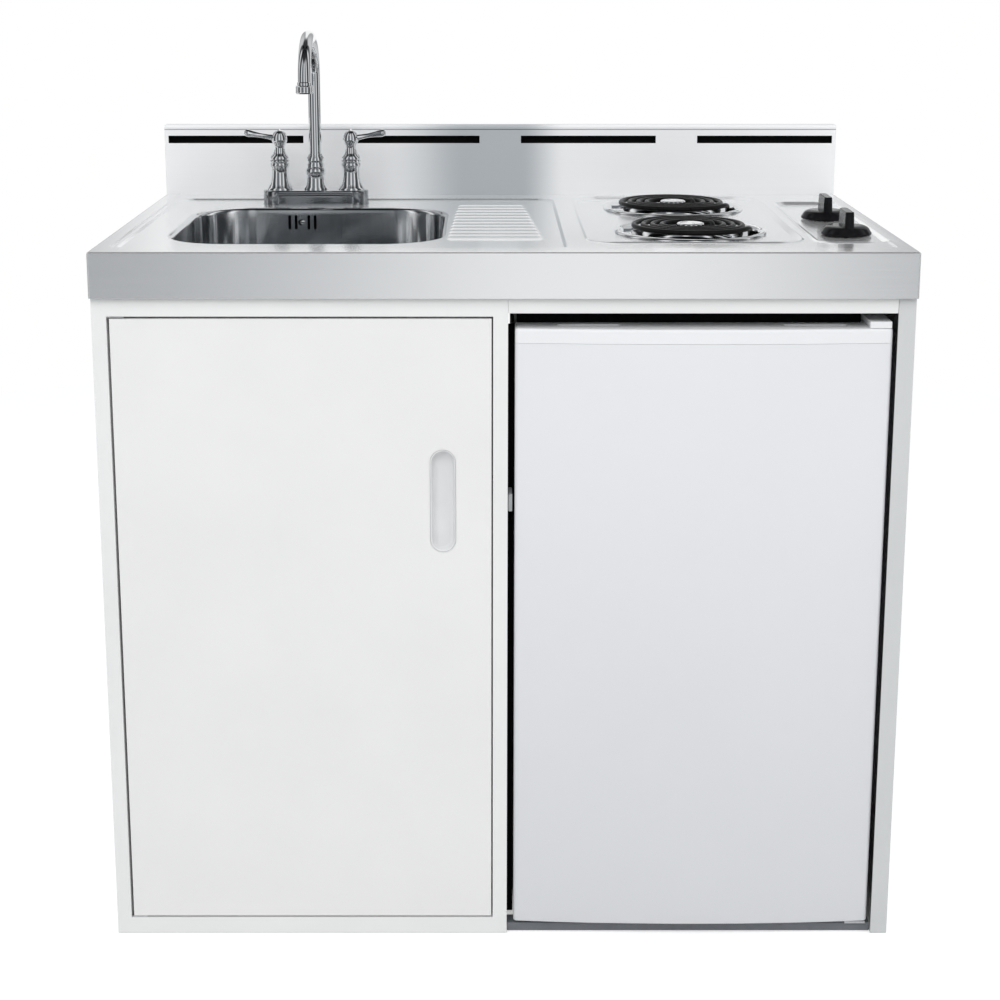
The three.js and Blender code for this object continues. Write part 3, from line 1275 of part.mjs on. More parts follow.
function machinery() {
  const z = FRIDGE_BOTTOM + FRIDGE_SHEET + SEAT_GAP;
  const y = FRIDGE_BACK - MACHINE_DEPTH / 2;
  const r = COMPRESSOR_RADIUS;
  const h = COMPRESSOR_HEIGHT;
  const profile = [[0, 2], [r - 30, 2], [r - 14, 12], [r - 3, 22], [r, 34], [r, h - 26], [r - 6, h - 12],
    [r - 22, h - 2], [0, h]];
  const plate = block([FRIDGE_MIDDLE - 80, FRIDGE_MIDDLE + 80], [y - 52, y + 52], [z, z + 3]);
  let compressor = turned(profile, FRIDGE_MIDDLE, y, z, 20).add(plate);
  for (const x of [-60, 60])
    for (const d of [-38, 38])
      compressor = compressor.add(
        block([FRIDGE_MIDDLE + x - 12, FRIDGE_MIDDLE + x + 12], [y + d - 8, y + d + 8],
          [z + 2, z + 18]),
      );
  add("compressor", compressor, blackEnamel);

  const centreY = FRIDGE_BACK + CONDENSER_OFF_BACK;
  const bottom = FRIDGE_BOTTOM + MACHINE_HEIGHT + CONDENSER_INSET;
  const half = (FRIDGE_RIGHT - FRIDGE_LEFT) / 2 - CONDENSER_FROM_SIDE;
  const bends = Math.floor((FRIDGE_TOP - CONDENSER_INSET - bottom) / CONDENSER_PITCH);
  let condenser = null;
  for (let i = 0; i <= bends; i++) {
    const height = bottom + i * CONDENSER_PITCH;
    const run = cylinder(CONDENSER_TUBE, -half - 0.5, half + 0.5, 0, 0, 6)
      .rotate([0, 90, 0])
      .translate([FRIDGE_MIDDLE, centreY, height]);
    condenser = condenser ? condenser.add(run) : run;
    if (i === bends) break;
    const side = i % 2 ? -1 : 1;
    const bend = new FlatBend(
      new THREE.Vector3(FRIDGE_MIDDLE + side * half, centreY, height + CONDENSER_PITCH / 2),
      CONDENSER_PITCH / 2,
      side,
    );
    condenser = condenser.add(swept(bend, CONDENSER_TUBE, 8, 6));
  }
  const foot = 6; // half the width of each of the four feet that hold the coil off the back
  for (const x of [FRIDGE_MIDDLE - half + 5 * foot, FRIDGE_MIDDLE + half - 5 * foot])
    for (const z of [bottom, bottom + bends * CONDENSER_PITCH])
      condenser = condenser.add(
        block([x - foot, x + foot], [FRIDGE_BACK + SEAT_GAP, centreY - CONDENSER_TUBE + 0.8],
          [z - foot, z + foot]),
      );
  add("condenser_coil", condenser, blackEnamel);
}

// A half circle in a plane of constant Y, bulging to the given side.
class FlatBend extends THREE.Curve {
  constructor(centre, radius, side) {
    super();
    Object.assign(this, { centre, radius, side });
  }
  getPoint(t) {
    const angle = -Math.PI / 2 + Math.PI * t;
    return new THREE.Vector3(
      this.centre.x + this.side * this.radius * Math.cos(angle),
      this.centre.y,
      this.centre.z + this.radius * Math.sin(angle),
    );
  }
}

// ---------- Inside the refrigerator ----------

const INNER_LEFT = CAVITY.left + SEAT_GAP + LINER;
const INNER_RIGHT = CAVITY.right - SEAT_GAP - LINER;
const INNER_TOP = CAVITY.top - SEAT_GAP - LINER;
const INNER_BACK = CAVITY.back - SEAT_GAP - LINER;
const FREEZER_TOP = INNER_TOP - SEAT_GAP;
const FREEZER_BOTTOM = FREEZER_TOP - FREEZER_HEIGHT;
const FREEZER_BACK = INNER_BACK - SEAT_GAP;
const FREEZER_FRONT = FREEZER_BACK - FREEZER_DEPTH;

function drawerLedge() {
  return FREEZER_BOTTOM - TRAY_HEIGHT - 6;
}

function freezer() {
  const left = INNER_LEFT + FREEZER_SIDE_GAP;
  const right = INNER_RIGHT - FREEZER_SIDE_GAP;
  const box = tray([left, right], [FREEZER_FRONT, FREEZER_BACK], [FREEZER_BOTTOM, FREEZER_TOP],
    FREEZER_WALL, "-y");
  const flapZ = [FREEZER_BOTTOM + FLAP_INSET, FREEZER_TOP - FLAP_INSET];
  const flapY = [FREEZER_FRONT - SEAT_GAP - FLAP_THICKNESS, FREEZER_FRONT - SEAT_GAP];
  const pinY = (flapY[0] + flapY[1]) / 2;
  const pinZ = flapZ[0] + 5;
  const earZ = [pinZ - 5, pinZ + 5];
  const rootY = [FREEZER_FRONT + 2, FREEZER_FRONT + 20];
  const ears = block([left - 3, left - 1], [flapY[0] - 2, rootY[1]], earZ)
    .add(block([left - 3, left + 1], rootY, earZ))
    .add(block([right + 1, right + 3], [flapY[0] - 2, rootY[1]], earZ))
    .add(block([right - 1, right + 3], rootY, earZ));
  const hole = cylinder(FLAP_PIN_RADIUS + FLAP_PIN_GAP, left - 6, right + 6, 0, 0, 10).rotate([0, 90, 0])
    .translate([0, pinY, pinZ]);
  add("freezer_box", box.add(ears.subtract(hole)), aluminium);
  const flap = block([left + FREEZER_WALL + 1, right - FREEZER_WALL - 1], flapY, flapZ);
  const pin = cylinder(FLAP_PIN_RADIUS, left - 3, right + 3, 0, 0, 10).rotate([0, 90, 0])
    .translate([0, pinY, pinZ]);
  const grip = block([FRIDGE_MIDDLE - 30, FRIDGE_MIDDLE + 30], [flapY[0] - 8, flapY[0] + 1],
    [flapZ[1] - 12, flapZ[1] - 9]);
  add("freezer_flap", flap.add(pin).add(grip), whitePlastic);

  const drip = tray(
    [INNER_LEFT + 1, INNER_RIGHT - 1],
    [FREEZER_FRONT, FREEZER_BACK - 4],
    [drawerLedge() + SEAT_GAP, drawerLedge() + TRAY_HEIGHT],
    TRAY_WALL,
    "+z",
  );
  add("drip_tray", drip, whitePlastic);
}

function shelf() {
  const left = INNER_LEFT + SHELF_SIDE_GAP;
  const right = INNER_RIGHT - SHELF_SIDE_GAP;
  const z = SHELF_Z + SHELF_WIRE + SEAT_GAP;
  const front = FRIDGE_FRONT + SHELF_SETBACK;
  const back = INNER_BACK - 2;
  const rod = (length) => cylinder(SHELF_WIRE, -length / 2, length / 2, 0, 0, 4);
  let frame = null;
  for (const y of [front, (front + back) / 2, back - SHELF_WIRE]) {
    const bar = rod(right - left).rotate([0, 90, 0]).translate([(left + right) / 2, y, z]);
    frame = frame ? frame.add(bar) : bar;
  }
  const inset = 8;
  for (let i = 0; i < SHELF_WIRES; i++) {
    const x = left + inset + ((right - left - 2 * inset) * i) / (SHELF_WIRES - 1);
    const wire = rod(back - front).rotate([90, 0, 0])
      .translate([x, (front + back) / 2, z + SHELF_WIRE]);
    frame = frame.add(wire);
  }
  add("wire_shelf", frame, wireWhite);
}

function thermostat() {
  const right = INNER_RIGHT - SEAT_GAP;
  const left = right - THERMOSTAT_WIDTH;
  const top = drawerLedge() - LEDGE_HEIGHT - 2;
  const y = FREEZER_FRONT + 20;
  const housing = block([left, right], [y, y + THERMOSTAT_DEPTH], [top - THERMOSTAT_HEIGHT, top]);
  const shaft = cylinder(THERMOSTAT_SHAFT, -8, 2, 0, 0, 10).rotate([90, 0, 0]);
  const middle = { x: (left + right) / 2, z: top - THERMOSTAT_HEIGHT / 2 };
  const placedShaft = shaft.translate([middle.x, y - 2, middle.z]);
  add("thermostat_housing", housing.add(placedShaft), whitePlastic);
  const knobShape = turned(
    [[0, 0], [THERMOSTAT_KNOB_RADIUS, 0], [THERMOSTAT_KNOB_RADIUS - 1, 10], [0, 10]],
    0, 0, 0, 20,
  ).rotate([90, 0, 0]).translate([middle.x, y - SEAT_GAP, middle.z]);
  const bore = cylinder(THERMOSTAT_SHAFT + SEAT_GAP, -14, 4, 0, 0, 10).rotate([90, 0, 0])
    .translate([middle.x, y - 4.4, middle.z]);
  const grip = block([middle.x - 2.5, middle.x + 2.5], [y - 17, y - 9.5],
    [middle.z - THERMOSTAT_KNOB_RADIUS + 2, middle.z + THERMOSTAT_KNOB_RADIUS - 2]);
  add("thermostat_knob", knobShape.add(grip).subtract(bore), greyPlastic);
}

// ---------- Refrigerator door ----------

const FRIDGE_DOOR_BACK = FRIDGE_FRONT - GASKET_DEPTH;
const FRIDGE_DOOR_EDGE = FRIDGE_DOOR_BACK - FRIDGE_DOOR_THICKNESS;
const FRIDGE_PIVOT_X = FRIDGE_RIGHT - DOOR_PIVOT;
const FRIDGE_PIVOT_Y = FRIDGE_DOOR_EDGE + DOOR_PIVOT;

// The door seen from above: flat sides and back, and a front that bows out in the middle.
function bowedOutline(inset, back) {
  const left = FRIDGE_LEFT + inset;
  const right = FRIDGE_RIGHT - inset;
  const half = (right - left) / 2;
  const bow = FRIDGE_DOOR_BOW;
  const radius = (half * half + bow * bow) / (2 * bow);
  const edge = FRIDGE_DOOR_EDGE + inset;
  const spread = Math.asin(half / radius);
  const outline = new THREE.Shape();
  outline.moveTo(right, back);
  outline.lineTo(left, back);
  outline.lineTo(left, edge);
  outline.absarc((left + right) / 2, edge - bow + radius, radius,
    -Math.PI / 2 - spread, -Math.PI / 2 + spread, false);
  outline.lineTo(right, back);
  return outline;
}

function fridgeDoor() {
  const capBottom = FRIDGE_DOOR_TOP - DOOR_CAP_HEIGHT;
  const skin = 1.2;
  const shell = prism(bowedOutline(0, FRIDGE_DOOR_BACK), FRIDGE_DOOR_BOTTOM, capBottom, 10)
    .subtract(
      prism(bowedOutline(skin, FRIDGE_DOOR_BACK + PAST), FRIDGE_DOOR_BOTTOM + skin,
        capBottom + PAST, 10),
    )
    .subtract(
      cylinder(HINGE_RADIUS + SEAT_GAP, 0, FRIDGE_DOOR_BOTTOM + 10, FRIDGE_PIVOT_X,
        FRIDGE_PIVOT_Y, 12),
    );
  add("fridge_door_shell", shell, doorPaint);

  const pinHole = cylinder(HINGE_RADIUS + SEAT_GAP, FRIDGE_DOOR_TOP - 12, FRIDGE_DOOR_TOP + PAST,
    FRIDGE_PIVOT_X, FRIDGE_PIVOT_Y, 12);
  let cap = prism(bowedOutline(0, FRIDGE_DOOR_BACK), capBottom + SEAT_GAP, FRIDGE_DOOR_TOP, 10)
    .subtract(pinHole);
  for (const x of [FRIDGE_LEFT + SCOOP_FROM_SIDE, FRIDGE_RIGHT - SCOOP_FROM_SIDE])
    cap = cap.subtract(
      roundedBlock([x - SCOOP_LENGTH / 2, x + SCOOP_LENGTH / 2],
        [FRIDGE_DOOR_BACK - 30, FRIDGE_DOOR_BACK - 14],
        [FRIDGE_DOOR_TOP - SCOOP_DEPTH, FRIDGE_DOOR_TOP + PAST], 7),
    );
  add("fridge_door_cap", cap, whitePlastic);

  const plate = {
    x: [FRIDGE_LEFT + skin + SEAT_GAP, FRIDGE_RIGHT - skin - SEAT_GAP],
    y: [FRIDGE_DOOR_BACK - 1.5, FRIDGE_DOOR_BACK],
    z: [FRIDGE_DOOR_BOTTOM + skin + SEAT_GAP, capBottom],
  };
  const lid = { x: [INNER_LEFT + 24, INNER_RIGHT - 12], z: [CAVITY.bottom + 14, CAVITY.top - 14] };
  const wall = RACK_WALL;
  const lidBack = FRIDGE_FRONT + LID_DEPTH;
  const raised = block(lid.x, [FRIDGE_DOOR_BACK - 1, lidBack], lid.z).subtract(
    block([lid.x[0] + wall, lid.x[1] - wall], [FRIDGE_DOOR_BACK, lidBack + PAST],
      [lid.z[0] + wall, lid.z[1] - wall]),
  );
  let liner = block(plate.x, plate.y, plate.z).add(raised);
  const rack = {
    x: [lid.x[0] + RACK_INSET, lid.x[1] - RACK_INSET],
    floors: [lid.z[0], lid.z[0] + UPPER_RACK_RISE],
  };
  const rackBack = FRIDGE_FRONT + RACK_DEPTH;
  for (const floor of rack.floors)
    liner = liner
      .add(block(rack.x, [FRIDGE_DOOR_BACK - 1, rackBack], [floor, floor + wall]))
      .add(block(rack.x, [rackBack - wall, rackBack], [floor, floor + RACK_HEIGHT]))
      .add(block([rack.x[0], rack.x[0] + wall], [FRIDGE_DOOR_BACK - 1, rackBack],
        [floor, floor + RACK_HEIGHT]))
      .add(block([rack.x[1] - wall, rack.x[1]], [FRIDGE_DOOR_BACK - 1, rackBack],
        [floor, floor + RACK_HEIGHT]));
  const sealY = [FRIDGE_DOOR_BACK + SEAT_GAP, FRIDGE_FRONT - SEAT_GAP];
  const sealX = [FRIDGE_LEFT + GASKET_INSET, FRIDGE_RIGHT - GASKET_INSET];
  const sealZ = [FRIDGE_BOTTOM + GASKET_INSET, capBottom - GASKET_INSET];
  const inside = (pair) => [pair[0] + GASKET_WIDTH, pair[1] - GASKET_WIDTH];
  const gasket = block(sealX, sealY, sealZ)
    .subtract(block(inside(sealX), [sealY[0] - PAST, sealY[1] + PAST], inside(sealZ)));
  add("fridge_door_gasket", gasket, greyRubber);

  const railZ = rack.floors[0] + BOTTLE_RAIL_RISE;
  const railHalf = BOTTLE_RAIL_RADIUS;
  const railY = rackBack - wall / 2;
  const railX = [rack.x[0] + railHalf, rack.x[1] - railHalf];
  const across = cylinder(railHalf, railX[0], railX[1], 0, 0, 6).rotate([0, 90, 0])
    .translate([0, railY, railZ]);
  liner = liner.add(across);
  for (const x of [railX[0] + railHalf, railX[1] - railHalf])
    liner = liner.add(block([x - railHalf, x + railHalf], [FRIDGE_DOOR_BACK - 1, railY + railHalf],
      [railZ - railHalf, railZ + railHalf]));
  add("fridge_door_liner", liner, whitePlastic);
}

function fridgeHinges() {
  const plateY = [FRIDGE_PIVOT_Y - DOOR_PIVOT, FRIDGE_FRONT + HINGE_OVER_SHELL];
  const plateX = [FRIDGE_RIGHT - HINGE_WIDTH - 2, FRIDGE_RIGHT - 2];
  const topPlate = FRIDGE_DOOR_TOP + SEAT_GAP;
  const upper = block(plateX, plateY, [topPlate, topPlate + 8])
    .add(block(plateX, [FRIDGE_FRONT + 6, plateY[1]], [FRIDGE_TOP + SEAT_GAP, topPlate + 1]))
    .add(cylinder(HINGE_RADIUS, FRIDGE_DOOR_TOP - 11 + SEAT_GAP, topPlate + 1, FRIDGE_PIVOT_X,
      FRIDGE_PIVOT_Y, 12));
  add("fridge_hinge_upper", upper, whitePlastic);
  const lowPlate = FRIDGE_DOOR_BOTTOM - SEAT_GAP;
  const lower = block(plateX, plateY, [lowPlate - 3, lowPlate])
    .add(block(plateX, [FRIDGE_FRONT + 4, plateY[1]], [lowPlate - 1, FRIDGE_BOTTOM - SEAT_GAP]))
    .add(cylinder(HINGE_RADIUS, lowPlate - 1, FRIDGE_DOOR_BOTTOM + 9, FRIDGE_PIVOT_X,
      FRIDGE_PIVOT_Y, 12));
  add("fridge_hinge_lower", lower, zinc);
}

cabinet();
worktop();
backsplash();
sinkBowl();
overflow();
drain();
faucet();
hob();
cupboardDoor();
fridgeCabinet();
machinery();
freezer();
shelf();
thermostat();
fridgeDoor();
fridgeHinges();

export default unit;
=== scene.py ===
# A 990 mm kitchenette: a steel worktop with a sink and two coil burners, over a painted
# cupboard on the left and a built-in compact refrigerator on the right.
# Metres. X to the right, Y to the back, Z up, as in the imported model.
import math

import bmesh
import bpy
from mathutils import Matrix, Vector


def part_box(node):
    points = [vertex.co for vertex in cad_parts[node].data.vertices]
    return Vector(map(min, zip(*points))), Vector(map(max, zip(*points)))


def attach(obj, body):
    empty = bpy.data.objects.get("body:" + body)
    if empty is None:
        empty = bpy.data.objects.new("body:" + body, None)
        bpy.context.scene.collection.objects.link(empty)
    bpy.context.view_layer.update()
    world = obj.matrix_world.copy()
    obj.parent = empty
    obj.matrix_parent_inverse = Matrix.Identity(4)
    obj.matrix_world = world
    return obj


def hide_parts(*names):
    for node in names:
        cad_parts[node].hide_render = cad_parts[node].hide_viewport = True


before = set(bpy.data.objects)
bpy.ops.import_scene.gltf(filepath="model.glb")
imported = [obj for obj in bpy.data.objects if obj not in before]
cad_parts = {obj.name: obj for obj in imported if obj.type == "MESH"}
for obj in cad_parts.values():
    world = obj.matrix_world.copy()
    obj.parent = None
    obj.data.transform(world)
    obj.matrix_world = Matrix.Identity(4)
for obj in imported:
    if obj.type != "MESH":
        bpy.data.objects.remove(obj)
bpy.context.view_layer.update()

# ---------- Camera ----------
# The unit is seen from a little above the worktop and almost from straight in front, tilted
# down at it. A small shift sets it in the frame as the photograph has it.


def in_scene(name, data):
    """An object of this data, in the scene."""
    obj = bpy.data.objects.new(name, data)
    bpy.context.scene.collection.objects.link(obj)
    return obj


camera = in_scene("camera", bpy.data.cameras.new("camera"))
camera.location = (-0.021, -2.547, 1.218)
camera.rotation_euler = (math.radians(90 - 12.3), 0, 0)
camera.data.sensor_width = 36
camera.data.lens = 68.8
camera.data.shift_x = 0.014
camera.data.shift_y = -0.12
bpy.context.scene.camera = camera
bpy.context.scene.view_settings.view_transform = "Standard"

# ---------- Studio ----------
# A white room with even light: a large soft lamp over the front and a weaker one from the
# right. Polished metal sees pale walls with darker panels between them under a dark ceiling.

world = bpy.data.worlds.new("studio")
bpy.context.scene.world = world
world.use_nodes = True
room = world.node_tree
room.nodes.clear()


def add(tree, kind, *first, **named):
    """A new node, with a number, a colour or another node's output for each input given."""
    node = tree.nodes.new("ShaderNode" + kind)
    for key, value in [*enumerate(first), *named.items()]:
        socket = node.inputs[key.replace("_", " ") if isinstance(key, str) else key]
        if isinstance(value, bpy.types.NodeSocket):
            tree.links.new(value, socket)
        else:
            socket.default_value = value
    return node


def math_node(tree, operation, first, second):
    node = add(tree, "Math", first, second)
    node.operation = operation
    return node.outputs[0]


def ramp(tree, factor, stops, easing="LINEAR"):
    """Colours along a factor. A stop is a place and a colour, or a place and a grey.

    A grey is its level, and where it is cool, how much green and then blue add to it."""
    node = add(tree, "ValToRGB", factor)
    node.color_ramp.interpolation = easing
    points = node.color_ramp.elements
    for index, (place, *colour) in enumerate(stops):
        if isinstance(colour[0], float):
            level, tint = (*colour, 0.0)[:2]
            colour = [(level, level + tint, level + 2 * tint)]
        point = points[index] if index < 2 else points.new(place)
        point.position = place
        point.color = (*colour[0], 1)
    return node.outputs["Color"]


def multiplied(tree, first, second):
    """The product of two colours."""
    node = add(tree, "Mix")
    node.data_type = "RGBA"
    node.blend_type = "MULTIPLY"
    node.inputs["Factor"].default_value = 1.0
    tree.links.new(first, node.inputs["A"])
    tree.links.new(second, node.inputs["B"])
    return node.outputs["Result"]


axes = add(room, "SeparateXYZ", add(room, "TexCoord").outputs["Generated"]).outputs
turn = math_node(room, "ARCTAN2", axes["X"], axes["Y"])
around = math_node(room, "DIVIDE", math_node(room, "ADD", turn, math.pi), 2 * math.pi)
# Half way round (0.5) is the back wall, and 0 and 1 are where the camera stands.
panels = ramp(room, around, [
    (0.0, 0.83, 0.01), (1.0, 0.83, 0.01), (0.010, 0.46, 0.015), (0.032, 0.14, 0.015),
    (0.09, 0.16, 0.015), (0.13, 0.82, 0.01), (0.17, 0.04, 0.005), (0.23, 0.08, 0.005),
    (0.28, 0.84, 0.01), (0.315, 0.10, 0.005), (0.345, 0.10, 0.005), (0.365, 0.62, 0.01),
    (0.40, 0.62, 0.01), (0.462, 0.40, 0.01), (0.478, 1.0), (0.522, 1.0), (0.538, 0.40, 0.01),
    (0.60, 0.62, 0.01), (0.635, 0.62, 0.01), (0.655, 0.10, 0.005), (0.685, 0.10, 0.005),
    (0.72, 0.84, 0.01), (0.77, 0.08, 0.005), (0.83, 0.04, 0.005), (0.87, 0.82, 0.01),
    (0.91, 0.22, 0.015), (0.957, 0.18, 0.015), (0.984, 0.83, 0.01)], "EASE")
# The ceiling is dark, so that the slopes of the pressings and the tops of bends show.
band = ramp(room, axes["Z"], [
    (0.0, 1.0), (1.0, 0.05, 0.003), (0.72, 1.0), (0.90, 0.07, 0.003)], "EASE")
rays = add(room, "LightPath").outputs
lit = add(room, "Background", Strength=0.62, Color=(0.97, 0.985, 1.0, 1))
mirrored = add(room, "Background", Strength=1.0, Color=multiplied(room, panels, band))
seen = add(room, "Background", Strength=1.0, Color=(1, 1, 1, 1))
by_gloss = math_node(room, "MAXIMUM", rays["Is Glossy Ray"], rays["Is Transmission Ray"])
walls = add(room, "MixShader", by_gloss, lit.outputs[0], mirrored.outputs[0])
backdrop = add(room, "MixShader", rays["Is Camera Ray"], walls.outputs[0], seen.outputs[0])
add(room, "OutputWorld", backdrop.outputs[0])


def lamp(name, place, target, size, power):
    """A square soft lamp, turned to its target and unseen in polished metal."""
    obj = in_scene(name, bpy.data.lights.new(name, "AREA"))
    obj.data.shape = "SQUARE"
    obj.data.size = size
    obj.data.energy = power
    obj.location = place
    obj.rotation_euler = (Vector(target) - Vector(place)).to_track_quat("-Z", "Y").to_euler()
    obj.visible_glossy = False


lamp("soft_lamp_front", (-0.7, -2.3, 2.9), (0, 0, 0.6), 2.2, 46)
lamp("soft_lamp_right", (2.4, -1.2, 1.9), (0, 0, 0.6), 1.6, 14)

bm = bmesh.new()
bmesh.ops.create_circle(bm, cap_ends=True, segments=64, radius=3.2)
floor = in_scene("floor", bpy.data.meshes.new("floor"))
bm.to_mesh(floor.data)
bm.free()
floor.location.z = -0.0005
floor_paint = bpy.data.materials.new("floor_paint")
floor_paint.use_nodes = True
tree = floor_paint.node_tree
tree.nodes.clear()
matt = add(tree, "BsdfDiffuse", Color=(0.86, 0.86, 0.86, 1)).outputs[0]
both = add(tree, "AddShader", matt, add(tree, "Emission", Strength=0.42).outputs[0]).outputs[0]
to_camera = add(tree, "LightPath").outputs["Is Camera Ray"]
add(tree, "OutputMaterial", add(tree, "MixShader", to_camera, matt, both).outputs[0])
floor.data.materials.append(floor_paint)

# ---------- Cabinet ----------
# Folded sheet steel, powder coated white: a face frame, two side panels, a partition, a back
# panel with a hole for the pipes, and the cupboard's floor. All are screwed together through
# their turned edges. The sill under the refrigerator is a grey moulding.


def finish(name, slot, tones, rough, grain=60.0, bump=0.0, bump_grain=900.0, stretch=(1, 1, 1),
           metal=0.0, coat=0.0, shine=0.5, spread=(0.3, 0.7)):
    """A surface whose tone and sheen vary a little over the piece, with a fine relief.

    Each of the two tones is a colour, or a grey as a ramp has it."""
    made = bpy.data.materials.new(name)
    made.use_nodes = True
    tree = made.node_tree
    shader = tree.nodes["Principled BSDF"].inputs
    shader["Metallic"].default_value = metal
    shader["Coat Weight"].default_value = coat
    shader["Specular IOR Level"].default_value = shine
    place = add(tree, "Mapping", add(tree, "TexCoord").outputs["Object"], Scale=stretch).outputs[0]
    cloud = add(tree, "TexNoise", Vector=place, Scale=grain, Detail=4).outputs["Fac"]
    stops = [(at, *(tone if len(tone) == 2 else [tone])) for at, tone in zip(spread, tones)]
    tree.links.new(ramp(tree, cloud, stops), shader["Base Color"])
    sheen = add(tree, "MapRange", cloud, *spread, *rough)
    tree.links.new(sheen.outputs[0], shader["Roughness"])
    if bump:
        relief = add(tree, "TexNoise", Vector=place, Scale=bump_grain, Detail=2).outputs["Fac"]
        lift = add(tree, "Bump", Strength=bump, Distance=0.0002, Height=relief)
        tree.links.new(lift.outputs[0], shader["Normal"])
    return made


def shade_along(material, axis, start, span, stops):
    """Multiplies a material's tone by a ramp that runs along one axis of the piece."""
    tree = material.node_tree
    place = add(tree, "SeparateXYZ", add(tree, "TexCoord").outputs["Object"]).outputs[axis]
    along = math_node(tree, "DIVIDE", math_node(tree, "SUBTRACT", place, start), span)
    colour = tree.nodes["Principled BSDF"].inputs["Base Color"]
    tone = colour.links[0].from_socket
    tree.links.new(multiplied(tree, tone, ramp(tree, along, stops, "EASE")), colour)


def cad_copy(node):
    """A CAD node's faces as one closed mesh, with the triangles of each flat face joined."""
    bm = bmesh.new()
    bm.from_mesh(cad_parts[node].data)
    bmesh.ops.remove_doubles(bm, verts=bm.verts, dist=1e-5)
    bmesh.ops.dissolve_limit(bm, angle_limit=math.radians(1), verts=bm.verts, edges=bm.edges)
    return bm


def soften(bm, radius, segments=2, edges=None, least=25):
    """Rounds the given edges, or every edge sharper than the least angle."""
    if edges is None:
        edges = [e for e in bm.edges if e.is_manifold and e.calc_face_angle() > math.radians(least)]
    bmesh.ops.bevel(bm, geom=edges, offset=radius, offset_type="OFFSET", affect="EDGES",
                    segments=segments, profile=0.5, material=-1, clamp_overlap=True)


def piece(name, bm, surface, nodes=(), body="cabinet", sharp=40, even=True):
    """Makes the piece from its mesh, shades it, and sets it in place of its CAD nodes."""
    mesh = bpy.data.meshes.new(name)
    bm.to_mesh(mesh)
    bm.free()
    mesh.shade_smooth()
    mesh.set_sharp_from_angle(angle=math.radians(sharp))
    mesh.materials.append(surface)
    obj = in_scene(name, mesh)
    if even:
        obj.modifiers.new("even_shading", "WEIGHTED_NORMAL").keep_sharp = True
    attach(obj, body)
    if nodes:
        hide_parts(*nodes)


def softened(node, surface, radius, name=None, body="cabinet", segments=2, least=60):
    """A piece that is the CAD node's own shape with its sharp edges rounded."""
    bm = cad_copy(node)
    soften(bm, radius, segments, least=least)
    piece(name or node + "_body", bm, surface, [node], body)


white_coat = dict(slot="white_paint", tones=[(0.815, 0.82, 0.812), (0.845, 0.848, 0.84)],
                  rough=(0.34, 0.44), grain=9, bump=0.16, bump_grain=700)
cabinet_paint = finish("cabinet_paint", **white_coat)
shaded_edge_paint = finish("shaded_edge_paint", **white_coat)
# Painted shade: the right panel's front edge is darkened in its colour, because it turns away from
# the light.
shade_along(shaded_edge_paint, "Y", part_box("right_side_panel")[0].y - 0.0005, 0.01, [
    (0.0, 0.76, 0.01), (1.0, 1.0), (0.07, 0.76, 0.01), (0.15, 1.0)])
inner_paint = finish("inner_paint", "white_paint", [(0.745, 0.755, 0.755), (0.77, 0.78, 0.78)],
                     (0.42, 0.55), grain=12, bump=0.2, bump_grain=700)
sill_plastic = finish("sill_plastic", "grey_plastic", [(0.15, 0.16, 0.175), (0.18, 0.19, 0.205)],
                      (0.45, 0.6), grain=40, bump=0.3)
for node, radius, surface in [
    ("cupboard_face_frame", 0.0009, cabinet_paint), ("left_side_panel", 0.0009, cabinet_paint),
    ("right_side_panel", 0.0009, shaded_edge_paint), ("centre_partition", 0.0008, cabinet_paint),
    ("cupboard_back_panel", 0.0003, inner_paint), ("cupboard_floor", 0.0008, inner_paint),
    ("fridge_top_rail", 0.0008, cabinet_paint), ("fridge_bay_sill", 0.0008, sill_plastic),
]:
    softened(node, surface, radius, node + "_sheet", least=25)

# ---------- Worktop ----------
# One sheet of stainless steel, brushed along its length: a raised rim with a folded apron, and
# three shallow pressings for sink, hob and knobs, two of them in a raised line. Twelve ribs are
# pressed up in the drainboard. Holes are punched for the bowl, burners, shafts and faucet.

top_low, top_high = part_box("worktop")
rim_z, deck_z = top_high.z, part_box("drip_pan_front")[1].z - 0.004
land_z = deck_z + 0.0022
sheet = 0.0012
bowl_flange, sink_corner, lip_radius = 0.012, 0.075, 0.006


def centre_of(node):
    """The middle of a CAD node's box."""
    low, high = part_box(node)
    return (low + high) / 2


def outward(bm):
    """Turns the faces of closed shells outwards."""
    bmesh.ops.recalc_face_normals(bm, faces=bm.faces)
    return bm


def plate(bm, low, high, z, radius=0.0, segments=6):
    """A flat face with rounded corners, between two corners in X and Y, in an empty mesh."""
    corners = bmesh.ops.create_grid(bm, x_segments=1, y_segments=1, size=0.5)["verts"]
    bmesh.ops.scale(bm, vec=(high[0] - low[0], high[1] - low[1], 1), verts=corners)
    middle = ((high[0] + low[0]) / 2, (high[1] + low[1]) / 2, z)
    bmesh.ops.translate(bm, vec=middle, verts=corners)
    if radius:
        bmesh.ops.bevel(bm, geom=corners, offset=radius, offset_type="OFFSET",
                        affect="VERTICES", segments=segments, profile=0.5, material=-1,
                        clamp_overlap=False)
        bmesh.ops.remove_doubles(bm, verts=bm.verts, dist=1e-5)
    return max(bm.faces, key=lambda face: face.calc_area())


